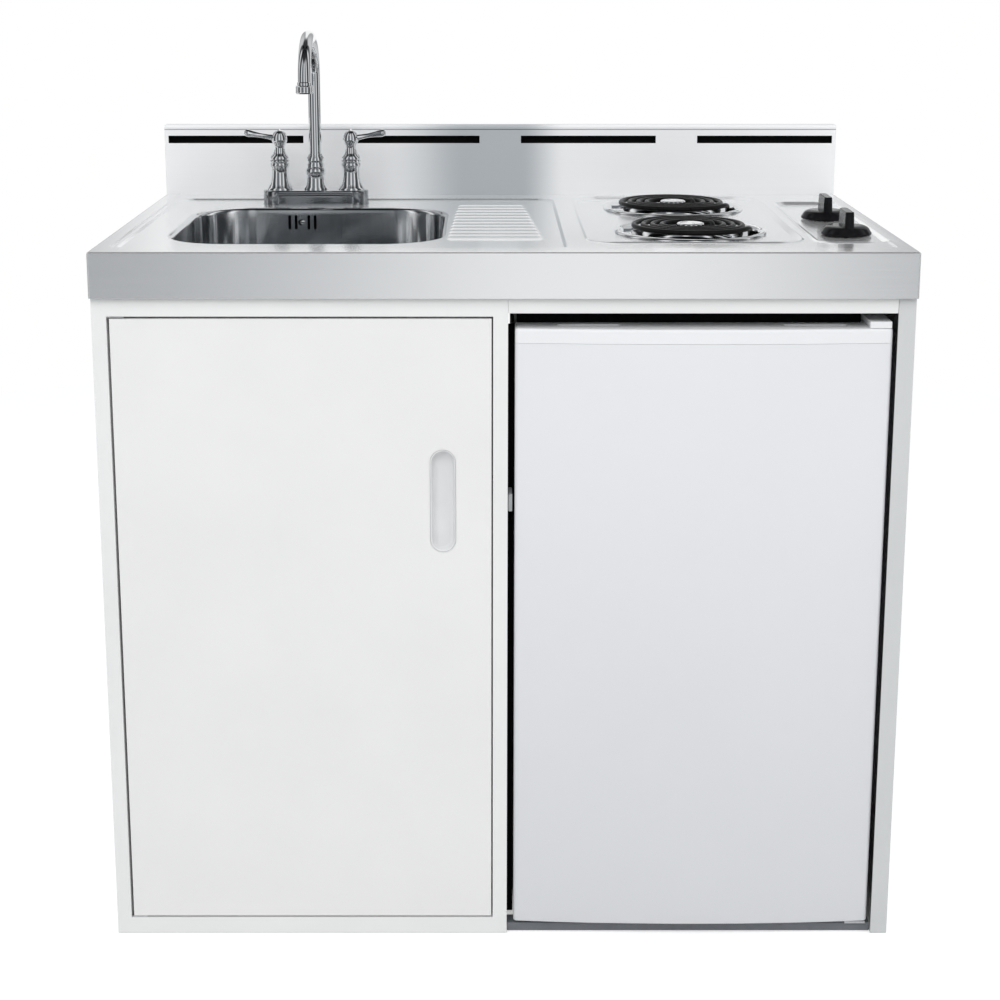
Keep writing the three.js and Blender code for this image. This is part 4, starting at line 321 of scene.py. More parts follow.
def raise_face(bm, face, height, spread=0.0):
    """Draws a face up into a closed block, whose top is wider all round by the spread."""
    lid = next(part for part in
               bmesh.ops.extrude_face_region(bm, geom=[face], use_keep_orig=True)["geom"]
               if isinstance(part, bmesh.types.BMFace))
    bmesh.ops.translate(bm, vec=(0, 0, height), verts=lid.verts)
    low = [min(v.co[i] for v in lid.verts) for i in (0, 1)]
    high = [max(v.co[i] for v in lid.verts) for i in (0, 1)]
    middle = Vector(((low[0] + high[0]) / 2, (low[1] + high[1]) / 2, 0))
    grow = [1 + 2 * spread / (high[i] - low[i]) for i in (0, 1)]
    bmesh.ops.scale(bm, vec=(*grow, 1), verts=lid.verts, space=Matrix.Translation(-middle))


def cutter(low, high, bottom, height=0.02, radius=0.0, slope=0.0, segments=6):
    """A block to cut with. Its slope is how far its walls lean out for each unit of height."""
    bm = bmesh.new()
    raise_face(bm, plate(bm, low, high, bottom, radius, segments), height, slope * height)
    return outward(bm)


def round_cutter(x, y, radius, low, high, segments=64):
    """A round rod to cut with."""
    bm = bmesh.new()
    bmesh.ops.create_cone(bm, cap_ends=True, segments=segments, radius1=radius, radius2=radius,
                          depth=high - low,
                          matrix=Matrix.Translation((x, y, (low + high) / 2)))
    return bm


def carve(bm, tools, operation="DIFFERENCE"):
    """Cuts the tools out of the mesh, or joins them to it."""
    objects = []
    for source in [bm, *tools]:
        objects.append(in_scene("blank", bpy.data.meshes.new("blank")))
        source.to_mesh(objects[-1].data)
        source.free()
    body = objects[0]
    for tool in objects[1:]:
        cut = body.modifiers.new("cut", "BOOLEAN")
        cut.operation = operation
        cut.solver = "EXACT"
        cut.object = tool
    bpy.context.view_layer.update()
    shaped = body.evaluated_get(bpy.context.evaluated_depsgraph_get())
    result = bmesh.new()
    result.from_mesh(shaped.data)
    # The order is set by place, so that each run of the script gives the same mesh.
    order = Vector((1.0, 17.3, 293.7))
    result.verts.sort(key=lambda v: v.co.dot(order))
    result.edges.sort(key=lambda e: (e.verts[0].co + e.verts[1].co).dot(order))
    result.faces.sort(key=lambda f: f.calc_center_median().dot(order))
    for obj in objects:
        mesh = obj.data
        bpy.data.objects.remove(obj)
        bpy.data.meshes.remove(mesh)
    bmesh.ops.remove_doubles(result, verts=result.verts, dist=1e-6)
    bmesh.ops.dissolve_limit(result, angle_limit=math.radians(0.5), verts=result.verts,
                             edges=result.edges)
    return result


bm = cutter(top_low, top_high, top_low.z, rim_z - top_low.z)
outer = [e for e in bm.edges if min(v.co.z for v in e.verts) > rim_z - 1e-4
         or abs(e.verts[0].co.z - e.verts[1].co.z) > 0.01]
soften(bm, 0.0032, 4, [e for e in outer if min(v.co.y for v in e.verts) < 0.3])
rim_width, rim_front = 0.021, 0.036
back_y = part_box("backsplash")[0].y - 0.0003
under_drop = 0.02
bm = carve(bm, [
    cutter((top_low.x + sheet, top_low.y + sheet), (top_high.x - sheet, top_high.y - sheet),
           top_low.z - under_drop, deck_z - sheet - top_low.z + under_drop),
    cutter((top_low.x + rim_width, top_low.y + rim_front), (top_high.x - rim_width, 0.4), land_z,
           radius=0.012, slope=1.0),
    cutter((-0.6, back_y), (0.6, 0.4), land_z - 0.0021)])
# Each pressing: its two corners, the radius of its corners and the slope of its walls.
zones = [
    ((-0.466, -0.262), (0.074, 0.234), 0.024, 1.6),
    ((0.112, -0.209), (0.366, 0.246), 0.030, 1.8),
    ((0.394, -0.207), (0.4715, 0.18), 0.016, 1.8),
]
bead_width, bead_height, bead_slope, bead_right = 0.0115, 0.0025, -1.68, 0.4728
bm = carve(bm, [cutter((low[0] - bead_width, low[1] - bead_width),
                       (min(high[0] + bead_width, bead_right), high[1] + bead_width),
                       land_z - 0.001, bead_height, radius + bead_width, bead_slope)
                for low, high, radius, _ in zones[1:]], "UNION")
bm = carve(bm, [cutter(low, high, deck_z, radius=radius, slope=slope)
                for low, high, radius, slope in zones])
rib_count, rib_pitch, rib_width, rib_height, rib_spread = 12, 0.0302, 0.0246, 0.0021, 0.0052
ribs = []
for index in range(rib_count):
    y = -0.160 + index * rib_pitch
    back = index / (rib_count - 1)
    ribs.append(cutter((-0.0717 + 0.008 * back, y - rib_width / 2),
                       (0.0522 - 0.0165 * back, y + rib_width / 2), deck_z - 0.0004, rib_height,
                       0.004, -rib_spread / rib_height, 3))
bm = carve(bm, ribs, "UNION")
soften(bm, 0.0009, 2, [e for e in bm.edges
                       if e.is_manifold and e.calc_face_angle() > math.radians(8)
                       and all(deck_z - 1e-5 < v.co.z < rim_z + 1e-5 for v in e.verts)
                       and all(abs(v.co.x) < 0.4785 and v.co.y > -0.2745 for v in e.verts)])

sink_middle = centre_of("sink_bowl").xy
sink_size = (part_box("sink_bowl")[1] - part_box("sink_bowl")[0]).xy - 2 * Vector([bowl_flange] * 2)
mouth_half = sink_size / 2 + Vector((lip_radius, lip_radius))
bowl_mouth = (sink_middle - mouth_half, sink_middle + mouth_half)
holes = []
for node, out, radius, segments in [
    ("drip_pan_front", 0, 0.090, 64), ("drip_pan_rear", 0, 0.090, 64),
    ("heat_knob_front", 0, 0.0035, 20), ("heat_knob_rear", 0, 0.0035, 20),
    ("faucet_handle_left", 0.0184, 0.011, 20), ("faucet_handle_right", -0.0184, 0.011, 20),
]:
    middle = centre_of(node)
    y = centre_of("faucet_body").y if out else middle.y
    holes.append(round_cutter(middle.x + out, y, radius, top_low.z, rim_z + 0.01, segments))
holes.append(cutter(*bowl_mouth, top_low.z, 0.08, sink_corner + lip_radius, segments=16))
duct_y = (back_y + top_high.y) / 2
holes.append(cutter((-0.44, duct_y - 0.005), (0.44, duct_y + 0.005), top_low.z, 0.08))
bm = carve(bm, holes)
brush_lines = dict(slot="stainless", grain=1.0, bump=0.012, bump_grain=1.0, spread=(0.2, 0.8),
                   stretch=(3, 900, 900))
brushed = finish("brushed_stainless", tones=[(0.93, 0.005), (0.96, 0.005)], rough=(0.17, 0.20),
                 metal=0.75, **brush_lines)
piece("pressed_worktop", bm, brushed, ["worktop"], sharp=50)

# ---------- Backsplash ----------
# A folded upstand of the same steel along the back, with a rolled top edge, a pressed line
# under it and four long vent slots in front of black felt, which is painted shade. A plain plate
# closes it behind.

bm = cad_copy("backsplash")
splash_low, splash_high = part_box("backsplash")
soften(bm, 0.003, 4, [e for e in bm.edges if all(
    v.co.z > splash_high.z - 1e-4 and v.co.y < splash_low.y + 1e-4 for v in e.verts)])
soften(bm, 0.0004, 1, least=60)
hem, hem_line, hem_depth = splash_high.z - 0.0068, 0.0012, 0.0006
bm = carve(bm, [cutter((-0.49, splash_low.y - 0.002), (0.49, splash_low.y + hem_depth), hem,
                       hem_line)])
brushed_upright = finish("brushed_backsplash", tones=[(0.955, 0.005), (0.98, 0.005)],
                         rough=(0.34, 0.40), metal=0.04, **brush_lines)
# Painted reflection: a soft darker band in the brushed steel's colour, where it faces the darkest
# part of the room.
painted_reflection_tone = (0.50, 0.53, 0.55)
shade_along(brushed_upright, "X", -0.5, 1.0, [
    (0.0, 1.0), (1.0, 1.0), (0.33, 0.97, 0.005), (0.45, painted_reflection_tone), (0.53, painted_reflection_tone),
    (0.60, 1.0)])
# Painted shadow: the pressed line under the rolled edge is darkened in its colour; the line itself
# is a real shallow groove.
shade_along(brushed_upright, "Z", hem - 0.01, 0.02, [
    (0.0, 1.0), (1.0, 1.0), (0.48, 1.0), (0.51, 0.42, 0.01), (0.55, 0.42, 0.01), (0.58, 1.0)])
piece("folded_backsplash", bm, brushed_upright, ["backsplash"])
galvanised = finish("galvanised_steel", "zinc", [(0.52, 0.53, 0.55), (0.62, 0.63, 0.65)],
                    (0.34, 0.46), grain=70, bump=0.06, metal=1.0)
softened("backsplash_rear_cover", galvanised, 0.0004, "rear_cover_plate", segments=1, least=25)
# Painted shade: black felt, set behind the vent slots and in the gaps round the refrigerator where
# there is only shadow.
shade_felt = finish("painted_shade_felt", "black_plastic", [(0.006, 0.0), (0.012, 0.0)], (0.85, 0.95),
              grain=300, bump=0.5, shine=0.1)
bm = cutter((-0.4925, 0.3000), (0.4925, 0.3034), splash_high.z - 0.033, 0.024)
soften(bm, 0.0008)
piece("vent_painted_shade", bm, shade_felt)

# ---------- Sink bowl ----------
# A deep drawn bowl of polished stainless steel, welded flush into the worktop: a rolled lip,
# straight walls and a rounded foot. Four overflow slots are cut high in its rear wall, with a
# screw between them that holds the overflow box outside.

sink_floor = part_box("strainer_body")[1].z - 0.0019
foot_radius, wall_draft, drain_hole = 0.034, 0.001, 0.042
drain_x, drain_y = centre_of("tailpiece").xy
bm = bmesh.new()
face = plate(bm, *bowl_mouth, deck_z, sink_corner + lip_radius, 16)


def quarter(steps, radius):
    """The steps of a quarter round: how far in and how far down each of them goes."""
    angles = [math.pi / 2 * step / steps for step in range(steps + 1)]
    return [(radius * (math.sin(b) - math.sin(a)), radius * (math.cos(a) - math.cos(b)))
            for a, b in zip(angles, angles[1:])]


def sink_face(bm, face, steps):
    """Draws a face inwards and down, by one step after another."""
    for inward, down in steps:
        bmesh.ops.inset_region(bm, faces=[face], thickness=inward, depth=-down,
                               use_even_offset=True, use_boundary=True)


def thicken(bm, thickness):
    """Gives a thin skin its thickness, as a closed shell."""
    bmesh.ops.solidify(bm, geom=bm.faces[:] + bm.edges[:] + bm.verts[:], thickness=thickness)
    return outward(bm)


wall_drop = deck_z - lip_radius - foot_radius - sink_floor
foot_steps = [(down, inward) for inward, down in quarter(8, foot_radius)]
sink_face(bm, face, [*quarter(5, lip_radius), (wall_draft, wall_drop), *foot_steps])
floor_ring = list(face.edges)
bmesh.ops.delete(bm, geom=[face], context="FACES_ONLY")
hole = bmesh.ops.create_circle(bm, segments=64, radius=drain_hole,
                               matrix=Matrix.Translation((drain_x, drain_y, sink_floor)))
hole_edges = list({e for v in hole["verts"] for e in v.link_edges})
bmesh.ops.bridge_loops(bm, edges=floor_ring + hole_edges)
outward(bm)
if max(bm.faces, key=lambda f: f.calc_area()).normal.z < 0:
    bmesh.ops.reverse_faces(bm, faces=bm.faces)
thicken(bm, 0.0008)
rear_wall = sink_middle.y + sink_size.y / 2
overflow_x, overflow_z = centre_of("overflow_fitting").x, 0.860
slot_pitch, slot_half = 0.009, 0.002
slots = []
for place in (-2, -1, 1, 2):
    x = overflow_x + place * slot_pitch
    slot = cutter((x - slot_half, rear_wall - 0.004), (x + slot_half, rear_wall + 0.003),
                  overflow_z - 0.010, 0.020)
    soften(slot, 0.0017, 3, [e for e in slot.edges
                             if abs(e.verts[0].co.y - e.verts[1].co.y) > 0.004])
    slots.append(slot)
bm = carve(bm, slots)
draw_lines = dict(slot="stainless", rough=(0.09, 0.12), grain=1.0, bump=0.012, bump_grain=1.0,
                  stretch=(300, 300, 2.5), metal=1.0)
polished = finish("polished_stainless", tones=[(0.74, 0.01), (0.80, 0.005)], **draw_lines)
drawn_steel = finish("drawn_stainless", tones=[(0.93, 0.005), (0.96, 0.005)], **draw_lines)
# Painted reflections: light and dark upright streaks of the room are painted into the walls' colour.
shade_along(drawn_steel, "X", -0.47, 0.39, [
    (0.0, 0.52, 0.01), (1.0, 0.46, 0.01), (0.08, 0.58, 0.01), (0.14, 1.0), (0.26, 1.0),
    (0.30, 0.48, 0.01), (0.36, 0.56, 0.01), (0.50, 0.62, 0.01), (0.62, 0.47, 0.01),
    (0.80, 0.41, 0.01), (0.85, 1.0), (0.93, 1.0)])
piece("drawn_bowl", bm, drawn_steel, ["sink_bowl"], sharp=50, even=False)

# ---------- Overflow, strainer and trap ----------
# Under the bowl: a black overflow box with a pipe to the drain cup, a stainless strainer cup
# with a lift-out basket, a chrome tailpiece with its slip nut, and a white plastic trap that
# runs back through the rear panel.


def spin(profile, x=0.0, y=0.0, z=0.0, steps=48):
    """A profile of radius and height turned about an upright axis. Points on the axis close it."""
    bm = bmesh.new()
    points = [bm.verts.new((x + radius, y, z + height)) for radius, height in profile]
    lines = [bm.edges.new(pair) for pair in zip(points, points[1:])]
    bmesh.ops.spin(bm, geom=points + lines, cent=(x, y, 0), axis=(0, 0, 1), dvec=(0, 0, 0),
                   angle=2 * math.pi, steps=steps, use_merge=True, use_normal_flip=False,
                   use_duplicate=False)
    bmesh.ops.remove_doubles(bm, verts=bm.verts, dist=1e-6)
    return outward(bm)


def ring(profile, x, y, z, steps=48):
    """A closed outline of radius and height turned about an upright axis."""
    return spin([*profile, profile[0]], x, y, z, steps)


def tube(bm, route, radius, segments=16, ends=True):
    """A round rod along a route. The radius is one number, or one for each point."""
    route = [Vector(point) for point in route]
    sizes = radius if isinstance(radius, list) else [radius] * len(route)
    aim = (route[1] - route[0]).normalized()
    turned = aim.to_track_quat("Z", "Y")
    last = None
    for index, (point, size) in enumerate(zip(route, sizes)):
        after = route[min(index + 1, len(route) - 1)] - route[max(index - 1, 0)]
        turned = aim.rotation_difference(after.normalized()) @ turned
        aim = after.normalized()
        closed = ends and index in (0, len(route) - 1)
        place = Matrix.Translation(point) @ turned.to_matrix().to_4x4()
        made = bmesh.ops.create_circle(bm, cap_ends=closed, segments=segments, radius=size,
                                       matrix=place)["verts"]
        hoop = list({edge for vert in made for edge in vert.link_edges})
        if last:
            bmesh.ops.bridge_loops(bm, edges=last + hoop)
        last = hoop
    outward(bm)


def join(bm, *others):
    """Adds other meshes to this one as they stand."""
    for other in others:
        mesh = bpy.data.meshes.new("joined")
        other.to_mesh(mesh)
        other.free()
        bm.from_mesh(mesh)
        bpy.data.meshes.remove(mesh)
    return bm


def turn_and_move(bm, degrees, axis, place=(0, 0, 0)):
    """Turns a mesh about an axis through the origin, then moves it to its place."""
    bmesh.ops.rotate(bm, verts=bm.verts, cent=(0, 0, 0),
                     matrix=Matrix.Rotation(math.radians(degrees), 3, axis))
    bmesh.ops.translate(bm, verts=bm.verts, vec=place)
    return bm


def arc(radius, start, end, steps, centre=(0, 0)):
    """Points on part of a circle, with the angles in degrees."""
    angles = [math.radians(start + (end - start) * step / steps) for step in range(steps + 1)]
    return [(centre[0] + radius * math.cos(a), centre[1] + radius * math.sin(a)) for a in angles]


chrome_look = dict(slot="chrome", tones=[(0.86, 0.865, 0.875), (0.90, 0.905, 0.91)],
                   rough=(0.02, 0.05), grain=30, metal=1.0)
chrome = finish("chrome", **chrome_look)
black_plastic = finish("black_plastic", "black_plastic",
                       [(0.006, 0.006, 0.007), (0.012, 0.012, 0.013)], (0.12, 0.2), grain=80,
                       shine=0.16)
white_plastic = finish("white_plastic", "white_plastic", [(0.74, 0.005), (0.80, 0.80, 0.805)],
                       (0.3, 0.42), grain=25, bump=0.08)
softened("overflow_fitting", black_plastic, 0.0004, "overflow_box_and_pipe", segments=1, least=40)
bm = spin([(0, 0.0016), (0.0021, 0.00155), (0.0036, 0.001), (0.0042, 0.0), (0, 0)], steps=24)
bm = carve(bm, [cutter((-0.0035, -0.0005), (0.0035, 0.0005), 0.0009, 0.002)])
turn_and_move(bm, 90, "X", (overflow_x, rear_wall - 0.0003, overflow_z))
piece("overflow_screw", bm, chrome)

# The cup's heights are from the bowl's floor, which its flange covers.
cup_radius, cup_wall, cup_floor, flange_radius = 0.0407, 0.002, -0.048, 0.056
outlet_radius, outlet_end = 0.019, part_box("strainer_body")[0].z - sink_floor
nut_radius, nut_low, nut_top = flange_radius - 0.004, -0.0095, -0.0015
bm = ring([
    (outlet_radius - cup_wall, outlet_end), (outlet_radius, outlet_end),
    (outlet_radius, cup_floor - cup_wall), (cup_radius, cup_floor - cup_wall),
    (cup_radius, 0.0003), (flange_radius, 0.0003), (flange_radius - 0.0012, 0.0013),
    (flange_radius - 0.004, 0.0019), (cup_radius - 0.001, 0.0019), (cup_radius - cup_wall, 0.001),
    (cup_radius - cup_wall, cup_floor), (outlet_radius - cup_wall, cup_floor - 0.001)],
    drain_x, drain_y, sink_floor, 64)
soften(bm, 0.0005, least=60)
nut = ring([(cup_radius + 0.0002, nut_low), (nut_radius, nut_low), (nut_radius, nut_top),
            (cup_radius + 0.0002, nut_top)], drain_x, drain_y, sink_floor, 8)
soften(nut, 0.0008, least=30)
piece("strainer_cup", join(bm, nut), polished, ["strainer_body"])

# The basket's heights are from the underside of its rim.
basket_rim = sink_floor + 0.0022
basket_floor, basket_radius = -0.034, cup_radius - 0.005
bm = spin([
    (0.0, basket_floor - 0.0012), (basket_radius - 0.008, basket_floor - 0.0012),
    (basket_radius - 0.003, basket_floor + 0.0015), (basket_radius, basket_floor + 0.008),
    (basket_radius, 0.0), (basket_radius + 0.007, 0.0), (basket_radius + 0.007, 0.0012),
    (basket_radius - 0.0012, 0.0012), (basket_radius - 0.0012, basket_floor + 0.009),
    (basket_radius - 0.0045, basket_floor + 0.0022), (basket_radius - 0.009, basket_floor),
    (0.0025, basket_floor), (0.0025, 0.0), (0.0045, 0.003), (0.0085, 0.007), (0.0088, 0.0105),
    (0.0065, 0.0128), (0.0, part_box("strainer_basket")[1].z - basket_rim)],
    drain_x, drain_y, basket_rim, 64)
perforations = []
for circle, (radius, count) in enumerate([(0.011, 8), (0.019, 14), (0.0255, 18)]):
    for index in range(count):
        angle = 2 * math.pi * (index + 0.5 * circle) / count
        perforations.append(round_cutter(
            drain_x + radius * math.cos(angle), drain_y + radius * math.sin(angle), 0.0016,
            basket_rim + basket_floor - 0.003, basket_rim + basket_floor + 0.002, 10))
bm = carve(bm, [join(*perforations)])
piece("basket_with_holes", bm, polished, ["strainer_basket"], "strainer_basket")

tail_low, tail_high = (corner.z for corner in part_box("tailpiece"))
tail_radius, tail_bore, nut_height = 0.0187, 0.017, 0.020
bm = ring([(tail_bore, tail_low - tail_high), (tail_radius, tail_low - tail_high),
           (tail_radius, -nut_height / 2), (tail_bore, -nut_height / 2)],
          drain_x, drain_y, tail_high, 40)
soften(bm, 0.0004, least=60)
slip_nut = ring([(0.0189, -nut_height), (0.0255, -nut_height), (0.026, -0.016), (0.026, -0.002),
                 (0.0245, 0), (0.0196, 0)], drain_x, drain_y, tail_high, 10)
soften(slip_nut, 0.0007, least=30)
piece("tailpiece_and_nut", join(bm, slip_nut), chrome, ["tailpiece"])

trap_low, trap_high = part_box("drain_trap")
trap_radius, trap_wall, bend, arm_bend = 0.0228, 0.0016, 0.046, 0.034
bend_z = trap_low.z + 0.023 + bend
arm_z = bend_z + 0.020 + arm_bend
side_view = [
    (drain_y, trap_high.z), (drain_y, (trap_high.z + bend_z) / 2),
    *arc(bend, 180, 360, 20, (drain_y + bend, bend_z)),
    *arc(arm_bend, 180, 90, 10, (drain_y + 2 * bend + arm_bend, arm_z - arm_bend)),
    (trap_high.y - 0.0002, arm_z)]
bm = bmesh.new()
tube(bm, [(drain_x, y, z) for y, z in side_view], trap_radius, 32, ends=False)
thicken(bm, trap_wall)
piece("bent_trap_pipe", bm, white_plastic, ["drain_trap"])

# ---------- Faucet ----------
# Chromed brass on a long oval plinth: two bell-shaped towers that carry lever handles, and a
# gooseneck spout in the middle with a swivel nut and an aerator. Threaded shanks and a clamp
# bar hold it from below.


def edges_above(bm, z):
    """The edges that lie wholly above a height."""
    return [e for e in bm.edges if min(v.co.z for v in e.verts) > z]


faucet_x, faucet_y = centre_of("faucet_spout").x, centre_of("faucet_body").y
towers = (faucet_x - 0.051, faucet_x + 0.051)
fit_gap = 0.0003
foot_z = deck_z + fit_gap
plinth_height, plinth_corner = 0.020, 0.0247
plinth_top = foot_z + plinth_height
# These heights are from the plinth's top.
tower_height, collar_height, sunk = 0.0417, 0.0297, -0.003
base_low, base_high = (corner.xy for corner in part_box("faucet_body"))
inset = Vector((0.0002, 0.0002))
bm = cutter(base_low + inset, base_high - inset, foot_z, plinth_height, plinth_corner, -0.03, 12)
soften(bm, 0.0035, 4, edges_above(bm, plinth_top - 1e-4))
shank_length, thread_pitch = 0.054, 0.0011
shank_turns = [(0.0098 if turn % 2 else 0.0088, thread_pitch * turn - shank_length)
               for turn in range(48)]
for x in towers:
    join(bm, spin([
        (0, sunk), (0.0202, sunk), (0.0203, 0.0008), (0.0190, 0.003), (0.0166, 0.0065),
        (0.0143, 0.0115), (0.0128, 0.018), (0.0122, 0.025), (0.0128, 0.0305), (0.0143, 0.0335),
        (0.0147, 0.0355), (0.0138, 0.0372), (0.0135, tower_height - 0.0035),
        (0.0145, tower_height - 0.0012), (0.0138, tower_height), (0, tower_height)],
        x, faucet_y, plinth_top),
        spin([(0, -shank_length - thread_pitch), *shank_turns, (0, 0)], x, faucet_y, foot_z, 24))
collar = spin([
    (0, sunk), (0.0186, sunk), (0.0184, 0.001), (0.0165, 0.0045), (0.0142, 0.010),
    (0.0136, collar_height - 0.010), (0.0150, collar_height - 0.007),
    (0.0155, collar_height - 0.003), (0.0146, collar_height), (0, collar_height)],
    faucet_x, faucet_y, plinth_top)
bar = cutter((faucet_x - 0.069, faucet_y - 0.018), (faucet_x + 0.069, faucet_y + 0.018),
             deck_z - 0.0045, 0.003, 0.006)
join(bm, collar, bar)
# Painted reflection: the plinth's lower part is darkened all round, for the dark deck that its front
# would mirror.
plinth_chrome_painted_reflection = finish("plinth_chrome_painted_reflection", **chrome_look)
shade_along(plinth_chrome_painted_reflection, "Z", foot_z, 0.04, [
    (0.0, 0.42, 0.01), (1.0, 1.0), (0.44, 0.42, 0.01), (0.52, 1.0)])
piece("plinth_and_towers", bm, plinth_chrome_painted_reflection, ["faucet_body"], sharp=50)

nut_z = plinth_top + collar_height + fit_gap
spout_radius, arch_rise, half_reach = 0.00875, 0.059, 0.0735
arch_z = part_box("faucet_spout")[1].z - spout_radius - arch_rise
outlet_y, outlet_z = faucet_y - 2 * half_reach, arch_z - 0.003
arch = [(faucet_y - half_reach + half_reach * across, arch_z + arch_rise * up)
        for across, up in arc(1, 0, 180, 32)]
bm = bmesh.new()
tube(bm, [(faucet_x, y, z) for y, z in [
    (faucet_y, nut_z + 0.015), (faucet_y, (nut_z + arch_z) / 2), *arch, (outlet_y, outlet_z)]],
    spout_radius, 32)
swivel_nut = spin([
    (0, 0), (0.0124, 0), (0.01295, 0.0012), (0.01295, 0.006), (0.0119, 0.0078), (0.0119, 0.0098),
    (0.0128, 0.0115), (0.0121, 0.0155), (0.0100, 0.0185), (0.0098, 0.021), (0, 0.022)],
    faucet_x, faucet_y, nut_z)
tip_ring = spin([(0, 0), (0.0097, 0), (0.0097, 0.0035), (0.0087, 0.0045), (0, 0.0045)],
                faucet_x, outlet_y, outlet_z)
piece("gooseneck", join(bm, swivel_nut, tip_ring), chrome, ["faucet_spout"], "spout")
# The aerator's heights are from its top. Four grooves make its grip.
grooves = []
for step in range(4):
    low_z = 0.0018 * step - 0.0085
    grooves += [(0.0119, low_z), (0.0119, low_z + 0.0009), (0.0114, low_z + 0.0011),
                (0.0114, low_z + 0.0016)]
bm = ring([(0.0066, -0.011), (0.0108, -0.011), (0.0119, -0.0095), *grooves, (0.0119, -0.0005),
           (0.0113, 0), (0.0066, 0)], faucet_x, outlet_y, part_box("faucet_aerator")[1].z)
piece("aerator_ring", bm, chrome, ["faucet_aerator"], "spout")

handle_z = plinth_top + tower_height + fit_gap
hub_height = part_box("faucet_handle_left")[1].z - handle_z
lever_z, lever_slope = 0.0303, 0.009 / 0.051
# How far out the lever's points are, and its radius at each.
lever_points = {0: 0.0052, 0.008: 0.0046, 0.016: 0.0036, 0.026: 0.0033, 0.036: 0.0042,
                0.044: 0.0054, 0.0475: 0.0050, 0.0495: 0.0036, 0.0505: 0.0012}
for name, side, x in zip(("left", "right"), (-1, 1), towers):
    bm = spin([
        (0, 0), (0.0128, 0), (0.0135, 0.0012), (0.0133, 0.0035), (0.0118, 0.0062),
        (0.0096, 0.0088), (0.0080, 0.012), (0.0074, 0.0165), (0.0078, 0.0205), (0.0096, 0.0235),
        (0.0109, 0.0268), (0.0111, 0.0305), (0.0104, 0.0345), (0.0088, 0.0385),
        (0.0062, 0.0408), (0.0028, 0.0418), (0, hub_height)], x, faucet_y, handle_z)
    lever = bmesh.new()
    tube(lever, [(x + side * out, faucet_y, handle_z + lever_z + lever_slope * out)
                 for out in lever_points], list(lever_points.values()), 20)
    piece("lever_handle_" + name, join(bm, lever), chrome, ["faucet_handle_" + name],
          "handle_" + name, sharp=50)

# ---------- Burners ----------
# Two tilt-up coil elements, each on a three-armed chrome support with a medallion in the
# middle, over a chromed drip pan whose rolled rim covers the hole's edge. The coil's two ends
# run through the pan's side into a ceramic socket in the steel box underneath.

coil_z = deck_z + 0.009
coil_wire, coil_inner, coil_outer, coil_turns = 0.0034, 0.031, 0.078, 4
terminal_side, terminal_tip, terminal_drop = 0.010, 0.113, 0.027


def flowing(points, steps):
    """A smooth curve through the points."""
    points = [Vector(point) for point in points]
    padded = [2 * points[0] - points[1], *points, 2 * points[-1] - points[-2]]
    curve = []
    for before, start, end, after in zip(padded, padded[1:], padded[2:], padded[3:]):
        for step in range(steps):
            t = step / steps
            curve.append(0.5 * (2 * start + (end - before) * t
                                + (2 * before - 5 * start + 4 * end - after) * t ** 2
                                + (3 * start - before - 3 * end + after) * t ** 3))
    return [*curve, points[-1]]


def coil_route():
    """The coil's middle line: in under the spiral, round four times, and back out."""
    side, low = terminal_side, -terminal_drop
    points = [(terminal_tip, -side, low), (0.101, -side, low), (0.078, -side, low),
              (0.053, -side, low), (0.039, -side, low + 0.005), (0.031, -side + 0.001, -0.013)]
    last_angle = coil_turns * 2 * math.pi - 0.45
    steps = coil_turns * 16
    for step in range(1, steps + 1):
        angle = last_angle * step / steps
        radius = coil_inner + (coil_outer - coil_inner) * angle / last_angle
        points.append((radius * math.cos(angle), radius * math.sin(angle), 0))
    return flowing(points + [
        (coil_outer - 0.002, -side + 0.002, -0.007), (coil_outer, 0, -0.015),
        (coil_outer + 0.006, side - 0.003, low + 0.004), (coil_outer + 0.017, side, low),
        (terminal_tip, side, low)], 4)


coil_black = finish("coil_sheath", "black_enamel",
                    [(0.005, 0.005, 0.0055), (0.012, 0.0115, 0.0115)], (0.26, 0.4), grain=140,
                    bump=0.12, shine=0.16)
ceramic = finish("socket_ceramic", "ceramic", [(0.62, 0.58, 0.52), (0.74, 0.71, 0.66)],
                 (0.45, 0.65), grain=120, bump=0.3)
# The pan's heights are from the deck, and the medallion's from its own top.
pan_floor = -0.027
pan_outline = [
    (0.022, pan_floor - 0.0009), (0.064, pan_floor - 0.0009), (0.0695, pan_floor + 0.0005),
    (0.074, pan_floor + 0.006), (0.083, -0.0031), (0.0885, -0.002), (0.089, 0.0003),
    (0.0972, 0.0003), (0.0975, 0.0012), (0.0968, 0.0028), (0.0950, 0.0038), (0.0925, 0.004),
    (0.0902, 0.0028), (0.088, 0.0002), (0.083, -0.0015), (0.0800, -0.0035),
    (0.073, pan_floor + 0.007), (0.0690, pan_floor + 0.0016), (0.063, pan_floor),
    (0.030, pan_floor + 0.0004), (0.022, pan_floor - 0.0001)]
arm_low, arm_high = deck_z + 0.0003, coil_z - coil_wire - 0.0003
arm_length, arm_half = 0.0865, 0.0012
medal_top = coil_z + coil_wire
medal_low = arm_low - medal_top
notch_half = terminal_side + 0.007
